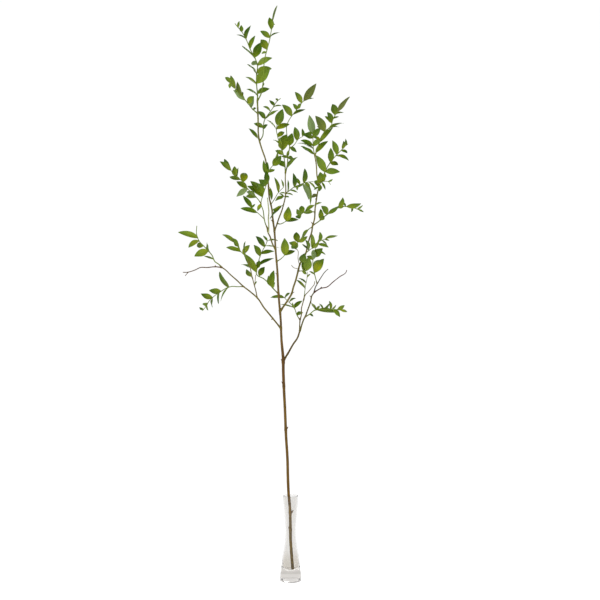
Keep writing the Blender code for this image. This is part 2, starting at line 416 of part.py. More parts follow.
def routed(parent, points, end_depth, start_radius, end_radius):
    """A route (u, v, depth, radius) that leaves its parent at the first point and drifts to end_depth."""
    start, _ = nearest(parent, *points[0])
    flat = [start[:2]] + list(points[1:])
    lengths = [0.0]
    for first, second in zip(flat, flat[1:]):
        lengths.append(lengths[-1] + math.dist(first, second))
    route = []
    for (u, v), length in zip(flat, lengths):
        share = length / lengths[-1]
        depth = start[2] + (end_depth - start[2]) * share
        route.append((u, v, depth, start_radius + (end_radius - start_radius) * share))
    return route


def ring_axes(direction):
    """Two directions across this one."""
    helper = Vector((0, 1, 0)) if abs(direction.y) < 0.9 else Vector((1, 0, 0))
    side = direction.cross(helper).normalized()
    return side, direction.cross(side).normalized()


def tube(points, radii, sides):
    """Vertices and faces of a closed tube through the points, flat at both ends."""
    verts, faces = [], []
    for i, (point, radius) in enumerate(zip(points, radii)):
        before = points[max(0, i - 1)]
        after = points[min(len(points) - 1, i + 1)]
        into = (point - before).normalized() if i else (after - point).normalized()
        away = (after - point).normalized() if i < len(points) - 1 else into
        side, other = ring_axes((into + away).normalized())
        for k in range(sides):
            angle = 2 * math.pi * k / sides
            verts.append(point + radius * (math.cos(angle) * side + math.sin(angle) * other))
    for i in range(len(points) - 1):
        for k in range(sides):
            a, b = i * sides + k, i * sides + (k + 1) % sides
            faces += [(a, b, b + sides), (a, b + sides, a + sides)]
    last = (len(points) - 1) * sides
    faces.append(tuple(reversed(range(sides))))
    faces.append(tuple(last + k for k in range(sides)))
    return verts, faces


def route_tube(route, sides):
    """The tube of a route given as (u, v, depth, radius)."""
    return tube([spot(*p[:3]) for p in route], [p[3] for p in route], sides)


def bezier(start, bend, end, share):
    return start * (1 - share) ** 2 + bend * 2 * share * (1 - share) + end * share ** 2


def facing(direction, twig, place, seen):
    """The blade's upper normal: it turns so that this share of its width is seen from the eye, and of
    the two ways to turn it takes the one whose upper side looks towards the twig's tip."""
    view = (eye() - place).normalized()
    across_view = (view - direction * view.dot(direction)).normalized()
    side = direction.cross(across_view)
    turn = math.acos(min(1.0, abs(seen)))
    sign = 1 if seen > 0 else -1
    ways = [sign * (math.cos(turn) * across_view + way * math.sin(turn) * side) for way in (1, -1)]
    return max(ways, key=lambda normal: normal.dot(twig))


def blade(root, bend, tip, normal, width, outline, thickness, skip_stalk=0.0):
    """Vertices and faces of a thin closed blade along the curve from root to tip. Both its faces are
    split alike, so they never cross."""
    rows = [(skip_stalk, STALK_WIDTH / width)] + [row for row in outline if row[0] > skip_stalk]
    verts, faces = [], []
    for share, wide in rows:
        middle = bezier(root, bend, tip, share)
        along = ((bend - root) * (1 - share) + (tip - bend) * share).normalized()
        across = along.cross(normal).normalized()
        up = across.cross(along) * thickness / 2
        half = across * width * wide / 2
        verts += [middle - half + up, middle + half + up, middle + half - up, middle - half - up]
    for i in range(len(rows) - 1):
        a = 4 * i
        b = a + 4
        faces += [(a, a + 1, b + 1), (a, b + 1, b)]
        faces += [(a + 2, a + 3, b + 3), (a + 2, b + 3, b + 2)]
        faces += [(a + 1, a + 2, b + 2), (a + 1, b + 2, b + 1)]
        faces += [(a + 3, a, b), (a + 3, b, b + 3)]
    end = 4 * len(rows) - 4
    verts += [tip + up, tip - up]
    high, low = end + 4, end + 5
    faces += [(end, end + 1, high), (end + 2, end + 3, low)]
    faces += [(end + 1, end + 2, low), (end + 1, low, high), (end + 3, end, high), (end + 3, high, low)]
    faces.append((3, 2, 1, 0))
    return verts, faces


class Placed:
    """What already stands, for finding clear ways past it."""

    def __init__(self):
        self.pieces = []

    def add(self, node, shape):
        low, high = self.box(shape)
        self.pieces.append((node, low, high, BVHTree.FromPolygons(*shape)))

    def box(self, shape):
        low = Vector(min(vert[axis] for vert in shape[0]) for axis in range(3))
        high = Vector(max(vert[axis] for vert in shape[0]) for axis in range(3))
        return low, high

    def met(self, shape):
        """The nodes whose pieces the shape touches."""
        low, high = self.box(shape)
        tree = BVHTree.FromPolygons(*shape)
        found = set()
        for other, other_low, other_high, other_tree in self.pieces:
            apart = any(low[i] > other_high[i] or high[i] < other_low[i] for i in range(3))
            if not apart and tree.overlap(other_tree):
                found.add(other)
        return found


def leaf_swings(seen_length, true_length, away, draw):
    """Depths of the tip behind the base to try, the natural one first."""
    swing = math.sqrt(max(0.0, true_length ** 2 - seen_length ** 2))
    swing = min(MOST_SWING * true_length, max(LEAST_SWING * seen_length, swing))
    swing *= away * draw.uniform(0.85, 1.05)
    return [swing * factor for factor in SWING_FACTORS]


def grow_leaf(name, route, leaf, away, placed, draw):
    """The closed blade of one leaf, swung in depth until it clears every other node."""
    base_u, base_v, tip_u, tip_v, seen_width, seen = leaf
    (u, v, depth, _), twig = nearest(route, base_u, base_v)
    start = spot(u, v, depth)
    width = seen_width * UNIT * BLADE_FULLNESS / abs(seen)
    seen_length = math.dist((u, v), (tip_u, tip_v)) * UNIT
    true_length = max(seen_length, width / BLADE_SLENDER)
    if true_length < SMALLEST_LEAF:
        return None
    outline = next(rows for least, rows in OUTLINES if true_length >= least)
    best = None
    for swing in leaf_swings(seen_length, true_length, away, draw):
        end = spot(tip_u, tip_v, depth + swing)
        direction = (end - start).normalized()
        bend = start + (direction + LEAF_ARCH * twig).normalized() * (end - start).length / 2
        normal = facing(direction, twig, start, seen)
        wide = width + 2 * CLEARANCE
        test = blade(start, bend, end, normal, wide, outline, 2 * CLEARANCE, LEAF_ROOT_SHARE)
        met = placed.met(test)
        if met <= {name} and (best is None or not met):
            best = blade(start, bend, end, normal, width, outline, BLADE_THICKNESS)
        if not met:
            break
    return best


def material(name, colour, roughness, transmission=0.0):
    made = bpy.data.materials.new(name)
    made.use_nodes = True
    shader = made.node_tree.nodes["Principled BSDF"]
    shader.inputs["Base Color"].default_value = (*colour, 1)
    shader.inputs["Roughness"].default_value = roughness
    shader.inputs["Metallic"].default_value = 0.0
    shader.inputs["Transmission Weight"].default_value = transmission
    return made


def mesh_object(name, shape, collection):
    verts, faces = shape
    mesh = bpy.data.meshes.new(name)
    mesh.from_pydata([tuple(vert) for vert in verts], [], faces)
    made = bpy.data.objects.new(name, mesh)
    collection.objects.link(made)
    return made


def fused(name, shapes, look):
    """One object from closed shapes that run into each other."""
    scene = bpy.context.scene.collection
    body = mesh_object(name, shapes[0], scene)
    others = bpy.data.collections.new(name + "_pieces")
    scene.children.link(others)
    for i, shape in enumerate(shapes[1:]):
        mesh_object(f"{name}_piece_{i}", shape, others)
    join = body.modifiers.new("join", "BOOLEAN")
    join.operation = "UNION"
    join.operand_type = "COLLECTION"
    join.collection = others
    join.solver = "MANIFOLD"
    bpy.context.view_layer.update()
    graph = bpy.context.evaluated_depsgraph_get()
    joined = bpy.data.meshes.new_from_object(body.evaluated_get(graph))
    body.modifiers.clear()
    body.data = joined
    for piece in list(others.objects):
        bpy.data.objects.remove(piece)
    bpy.data.collections.remove(others)
    body.data.materials.clear()
    body.data.materials.append(look)
    return body


def rounded(body):
    body.data.shade_smooth()
    body.data.set_sharp_from_angle(angle=math.radians(40))


def build_vase():
    """The turned glass: solid foot, waist, flared mouth and the hollow down to the thick floor."""
    rim = VASE_OUTSIDE[-1][0]
    inside = [(r - VASE_WALL, z) for r, z in VASE_OUTSIDE if z > VASE_FLOOR + VASE_WALL_START]
    profile = VASE_OUTSIDE + [(rim - VASE_WALL / 2, VASE_HEIGHT)] + inside[::-1]
    out, rise = VASE_BOWL_ROUNDING
    profile += [(VASE_BOWL_RADIUS + out, VASE_FLOOR + rise), (VASE_BOWL_RADIUS, VASE_FLOOR)]
    verts, faces = [], []
    for radius, height in profile:
        for k in range(VASE_SIDES):
            angle = 2 * math.pi * k / VASE_SIDES
            verts.append((radius * math.cos(angle), radius * math.sin(angle), height))
    for i in range(len(profile) - 1):
        for k in range(VASE_SIDES):
            a, b = i * VASE_SIDES + k, i * VASE_SIDES + (k + 1) % VASE_SIDES
            faces.append((a, b, b + VASE_SIDES, a + VASE_SIDES))
    top = (len(profile) - 1) * VASE_SIDES
    faces.append(tuple(reversed(range(VASE_SIDES))))
    faces.append(tuple(top + k for k in range(VASE_SIDES)))
    vase = mesh_object("glass_vase", (verts, faces), bpy.context.scene.collection)
    vase.data.materials.append(material("clear_glass", (0.86, 0.90, 0.88), 0.03, 1.0))
    rounded(vase)


def bud(route, base, tip, radius):
    """A short stub that narrows from its sunk base to its tip."""
    (_, _, depth, _), _ = nearest(route, *base)
    ends = [spot(*base, depth), spot(*tip, depth - BUD_FORWARD)]
    return tube(ends, [radius, BUD_TIP * radius], BUD_SIDES)


def stub_and_twig(route, parent_radius, radius):
    """The woody stub on the parent, and the twig that butts on it a small gap further on."""
    start, second = spot(*route[0][:3]), spot(*route[1][:3])
    away = (second - start).normalized()
    reach = parent_radius + STUB_REACH
    stub = tube([start, start + away * reach], [radius * COLLAR, radius * COLLAR], BRANCH_SIDES)
    lead = start + away * (reach + GAP)
    line = [lead, lead + away * TWIG_LEAD]
    for point in route[1:]:
        place = spot(*point[:3])
        if (place - start).length > reach + GAP + TWIG_SPARE * TWIG_LEAD:
            line.append(place)
    radii = [radius * (1 - (1 - TWIG_TIP) * i / (len(line) - 1)) for i in range(len(line))]
    return stub, tube(line, radii, TWIG_SIDES)


def woody_shapes():
    """The routes and the closed shapes of the main stem, its branches and its buds."""
    routes = {"main": [(u, v, depth, read_off(MAIN_RADII, v)) for u, v, depth in MAIN]}
    shapes = [route_tube(routes["main"], MAIN_SIDES)]
    for name, parent, end_depth, start_radius, end_radius, points in BRANCHES:
        routes[name] = routed(routes[parent], points, end_depth, start_radius, end_radius)
        shapes.append(route_tube(routes[name], BRANCH_SIDES))
    for parent, base, tip, radius in BUDS:
        shapes.append(bud(routes[parent], base, tip, radius))
    return routes, shapes


def branch_shapes():
    """Every closed shape of the branch by node, with each leaf bent clear of the other nodes."""
    draw = random.Random(7)
    placed = Placed()
    routes, woody = woody_shapes()
    shapes = {"woody_stem": woody}
    owner = dict.fromkeys(routes, "woody_stem")
    for name, parent, end_depth, radius, points, _ in SPRAYS:
        route = routed(routes[parent], points, end_depth, radius, radius * TWIG_TIP)
        (_, _, _, parent_radius), _ = nearest(routes[parent], *route[0][:2])
        stub, twig = stub_and_twig(route, parent_radius, radius)
        shapes[owner[parent]].append(stub)
        shapes[name] = [twig]
        routes[name] = route
        owner[name] = name
    for name, parts in shapes.items():
        for shape in parts:
            placed.add(name, shape)
    for name, *_, leaves in SPRAYS:
        for i, leaf in enumerate(leaves):
            shape = grow_leaf(name, routes[name], leaf, 1 if i % 2 else -1, placed, draw)
            if shape:
                shapes[name].append(shape)
                placed.add(name, shape)
    return shapes


def main():
    for thing in list(bpy.data.objects):
        bpy.data.objects.remove(thing)
    build_vase()
    tints = random.Random(3)
    for name, parts in branch_shapes().items():
        if name == "woody_stem":
            look = material("bark", (0.18, 0.12, 0.05), 0.6)
        else:
            shift = tints.uniform(0.85, 1.15)
            look = material("leaf_" + name, (0.13 * shift, 0.20 * shift, 0.035), 0.38)
        rounded(fused(name, parts, look))


main()
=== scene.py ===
"""The looks of the ruscus stem: bark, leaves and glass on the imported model, with floor, light and camera."""

import math
import random

import bpy
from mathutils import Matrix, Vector, noise
from mathutils.bvhtree import BVHTree


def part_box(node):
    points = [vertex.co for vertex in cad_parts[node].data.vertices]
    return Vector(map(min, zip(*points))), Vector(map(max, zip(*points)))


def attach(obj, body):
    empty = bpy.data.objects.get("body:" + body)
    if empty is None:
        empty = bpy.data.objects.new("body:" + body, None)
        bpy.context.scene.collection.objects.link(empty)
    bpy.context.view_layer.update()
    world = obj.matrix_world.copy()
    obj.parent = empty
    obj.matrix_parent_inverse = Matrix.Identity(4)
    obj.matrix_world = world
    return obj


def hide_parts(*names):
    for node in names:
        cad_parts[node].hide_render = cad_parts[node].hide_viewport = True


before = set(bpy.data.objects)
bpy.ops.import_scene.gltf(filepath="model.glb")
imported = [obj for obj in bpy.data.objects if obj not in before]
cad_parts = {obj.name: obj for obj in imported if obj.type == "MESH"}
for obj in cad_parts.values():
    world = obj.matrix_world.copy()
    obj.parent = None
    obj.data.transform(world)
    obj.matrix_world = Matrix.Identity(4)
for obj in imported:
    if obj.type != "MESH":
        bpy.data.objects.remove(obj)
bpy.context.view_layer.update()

# The branch is laid out in a picture plane seen level from the front: u runs right and v runs down.
UNIT = 0.00225  # one unit of the picture, on the plane of the vase's axis
FOCUS = 1050  # the picture's units at one metre, one metre from the eye
EYE_DISTANCE = FOCUS * UNIT
EYE_U, EYE_V = 300.0, 300.0
PICTURE_SIDE = 600
AXIS_U, FOOT_V = 290.7, 580.4  # where the vase's axis meets its foot

VASE_WALL = 0.0028
VASE_FLOOR = 0.0240
VASE_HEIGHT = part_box("glass_vase")[1][2]
VASE_OUTSIDE = [  # radius, height
    (0.0218, 0.0),
    (0.0235, 0.004),
    (0.0236, 0.012),
    (0.0213, 0.028),
    (0.0185, 0.055),
    (0.0150, 0.076),
    (0.0127, 0.095),
    (0.0120, 0.109),
    (0.0134, 0.134),
    (0.0155, 0.160),
    (0.0170, 0.1895),
]
VASE_BOWL_RADIUS = 0.0150

GAP = 0.0003
STUB_REACH = 0.0018
COLLAR = 1.25
TWIG_TIP = 0.6
MAIN_SIDES, BRANCH_SIDES, TWIG_SIDES, BUD_SIDES = 6, 4, 4, 3
BUD_FORWARD = 0.001
BUD_TIP = 0.5
TWIG_LEAD = 0.0015
TWIG_SPARE = 1.6

BLADE_SLENDER = 0.50
BLADE_FULLNESS = 1.22
STALK_WIDTH = 0.0007
SMALLEST_LEAF = 0.0135  # below this the solids have no leaf, and it is added here
OUTLINES = [
    (0.040, [(0.20, 0.76), (0.44, 1.0), (0.74, 0.62)]),
    (0.024, [(0.30, 0.95), (0.66, 0.72)]),
    (0.0, [(0.42, 0.95)]),
]
LEAF_ARCH = 0.28
LEAF_ROOT_SHARE = 0.14
LEAST_SWING, MOST_SWING = 0.3, 0.75
SWING_SPREAD = (0.85, 1.05)
SWING_FACTORS = (1, -1, 0.6, -0.6, 0.25, -0.25, 1.4, -1.4, 1.8, -1.8)
CLEARANCE = 0.0012
BLADE_THICKNESS = 0.0007

# The main stem: u, v, depth.
MAIN = [
    (292.8, 570.3, -0.0073), (292.0, 560, -0.0058), (290.6, 540, -0.0020), (290.3, 520, 0.0025),
    (289.9, 508, 0.0060), (288.7, 495, 0.0094), (288.0, 480, 0.0125), (287.5, 460, 0.0160),
    (286.0, 435, 0.0195), (285.0, 410, 0.0225), (284.0, 390, 0.0250), (283.3, 370, 0.0270),
    (283.2, 360, 0.0280), (281.5, 340, 0.0295), (280.7, 320, 0.0300), (279.0, 300, 0.0300),
    (278.3, 290, 0.0297), (277.3, 270, 0.0287), (275.6, 250, 0.0273), (274.5, 232, 0.0258),
    (272.7, 218, 0.0243), (272.0, 210, 0.0235), (269.2, 197, 0.0218), (268.2, 182, 0.0198),
    (266.8, 168, 0.0178), (265.6, 160, 0.0165), (262.2, 150, 0.0150), (259.6, 141.5, 0.0138),
    (258.3, 133, 0.0125), (258.2, 125, 0.0115), (257.7, 108, 0.0090), (257.4, 101, 0.0080),
]
# The main stem's radius at heights v.
MAIN_RADII = [
    (568.8, 0.0032), (480, 0.0032), (400, 0.0031), (360, 0.0035), (345, 0.0029), (320, 0.0025), (280, 0.0024),
    (250, 0.0021), (230, 0.0022), (210, 0.0019), (190, 0.0017), (130, 0.0017), (112, 0.0019),
    (101, 0.0018),
]

# Woody branches: name, parent, depth of the far end, radii at start and end, points (u, v).
BRANCHES = [
    ("e", "main", 0.060, 0.0022, 0.0019,
     [(283.6, 361), (288.5, 352.5), (293, 344.5), (297.5, 337.8), (299.8, 331)]),
    ("e_left", "e", 0.066, 0.0015, 0.0014, [(299.8, 331), (299.7, 325), (300, 320)]),
    ("e_inner", "e_left", 0.056, 0.0013, 0.0012,
     [(300, 320), (301.5, 314), (301.5, 308), (302.3, 305), (303.6, 300)]),
    ("e_inner_tip", "e_inner", 0.034, 0.0012, 0.0008,
     [(303.6, 300), (305.3, 295), (307.8, 292.3), (311.5, 288), (314.5, 283.5), (314.7, 281.5)]),
    ("e_right", "e", 0.048, 0.0018, 0.0014,
     [(299.8, 331), (301.3, 326.5), (303.3, 320.5), (305.5, 316), (307.3, 311), (309, 306.5),
      (310.8, 301), (311.5, 296.5), (314.2, 292.3)]),
    ("bare_right", "e_right", -0.005, 0.0014, 0.0009,
     [(314.2, 292.3), (317, 290.5), (320.5, 288.5), (327, 287), (333, 282), (340, 276.5), (346, 272.3),
      (346.7, 270.3)]),
    ("bare_middle", "e_right", 0.075, 0.0013, 0.0009,
     [(314.2, 292.3), (315.3, 287.5), (317.2, 284), (321, 277.5), (326, 270.8), (328, 269.2)]),
    ("d", "main", -0.055, 0.0022, 0.0013,
     [(280.7, 311.5), (284, 305.8), (288, 300), (291.5, 294), (293.3, 287.5), (295.5, 281),
      (298, 271.5), (299.8, 264.5), (303.5, 258), (306.5, 251), (307.3, 246), (309.7, 238),
      (311.5, 233), (312.7, 225.5), (314.5, 219), (315, 210), (316.3, 200), (317.5, 193), (318.8, 186),
      (317, 176), (316.3, 165), (314.8, 156)]),
    ("a", "main", -0.062, 0.0019, 0.0013,
     [(280.8, 328.5), (276.5, 323), (270, 315), (263.5, 307), (258.5, 299.3), (250, 291.5),
      (243.5, 286.5), (236, 279.5), (230, 274.3), (225, 269.5), (222, 267.5)]),
    ("a_bare", "a", -0.100, 0.0013, 0.0009,
     [(222, 267.5), (215.5, 266.8), (207, 267.5), (200.5, 267.5), (195, 270), (187, 272.3),
      (183.2, 272.3)]),
    ("a_bare_fork", "a_bare", -0.094, 0.0008, 0.0007, [(188.5, 272), (185.3, 275.7)]),
    ("a_up", "a", 0.010, 0.0012, 0.0010,
     [(257.3, 298), (256, 291.5), (254, 284), (252.7, 279), (250.5, 269), (249.3, 263)]),
    ("a_up_twig", "a_up", -0.018, 0.0008, 0.0007, [(254.5, 286), (255.2, 280), (255.6, 275)]),
    ("s1", "main", 0.004, 0.0017, 0.0016,
     [(274.8, 249.5), (272.5, 244), (270.2, 237), (267.7, 231.5), (267.3, 228)]),
    ("s1_pale", "s1", -0.004, 0.0016, 0.0011,
     [(268.4, 232.6), (268.8, 226), (268.4, 219), (268.8, 211), (268.2, 205), (267.5, 198)]),
    ("s2", "main", 0.036, 0.0016, 0.0013,
     [(274.7, 231), (276.5, 225.5), (279, 218), (281.7, 211), (283.7, 204), (285.3, 197), (285.8, 190),
      (285.3, 180), (285.4, 173.5)]),
    ("d_thin", "d", -0.050, 0.0008, 0.0007, [(299.6, 265.5), (298, 258), (298, 251), (295, 247.3)]),
    ("d_scale", "d", -0.070, 0.0007, 0.0007, [(298.5, 269), (293.3, 267.3), (291.5, 265.3)]),
]
# Buds and cut stubs on the woody stem: parent, base (u, v), tip (u, v), radius.
BUDS = [
    ("main", (291.0, 513.0), (293.4, 509.9), 0.0018),
    ("main", (290.2, 529.8), (288.3, 526.7), 0.0016),
    ("main", (286.0, 429.5), (288.4, 426.6), 0.0016),
    ("main", (284.0, 386.0), (281.5, 381.3), 0.0015),
    ("main", (283.3, 362.0), (280.7, 359.0), 0.0017),
    ("main", (280.7, 313.5), (278.5, 310.4), 0.0014),
    ("main", (277.6, 275.0), (275.3, 272.8), 0.0010),
    ("main", (273.0, 221.5), (270.6, 219.6), 0.0010),
    ("e", (287.6, 354.0), (289.6, 350.3), 0.0010),
    ("d", (291.5, 294.0), (294.6, 291.8), 0.0008),
]

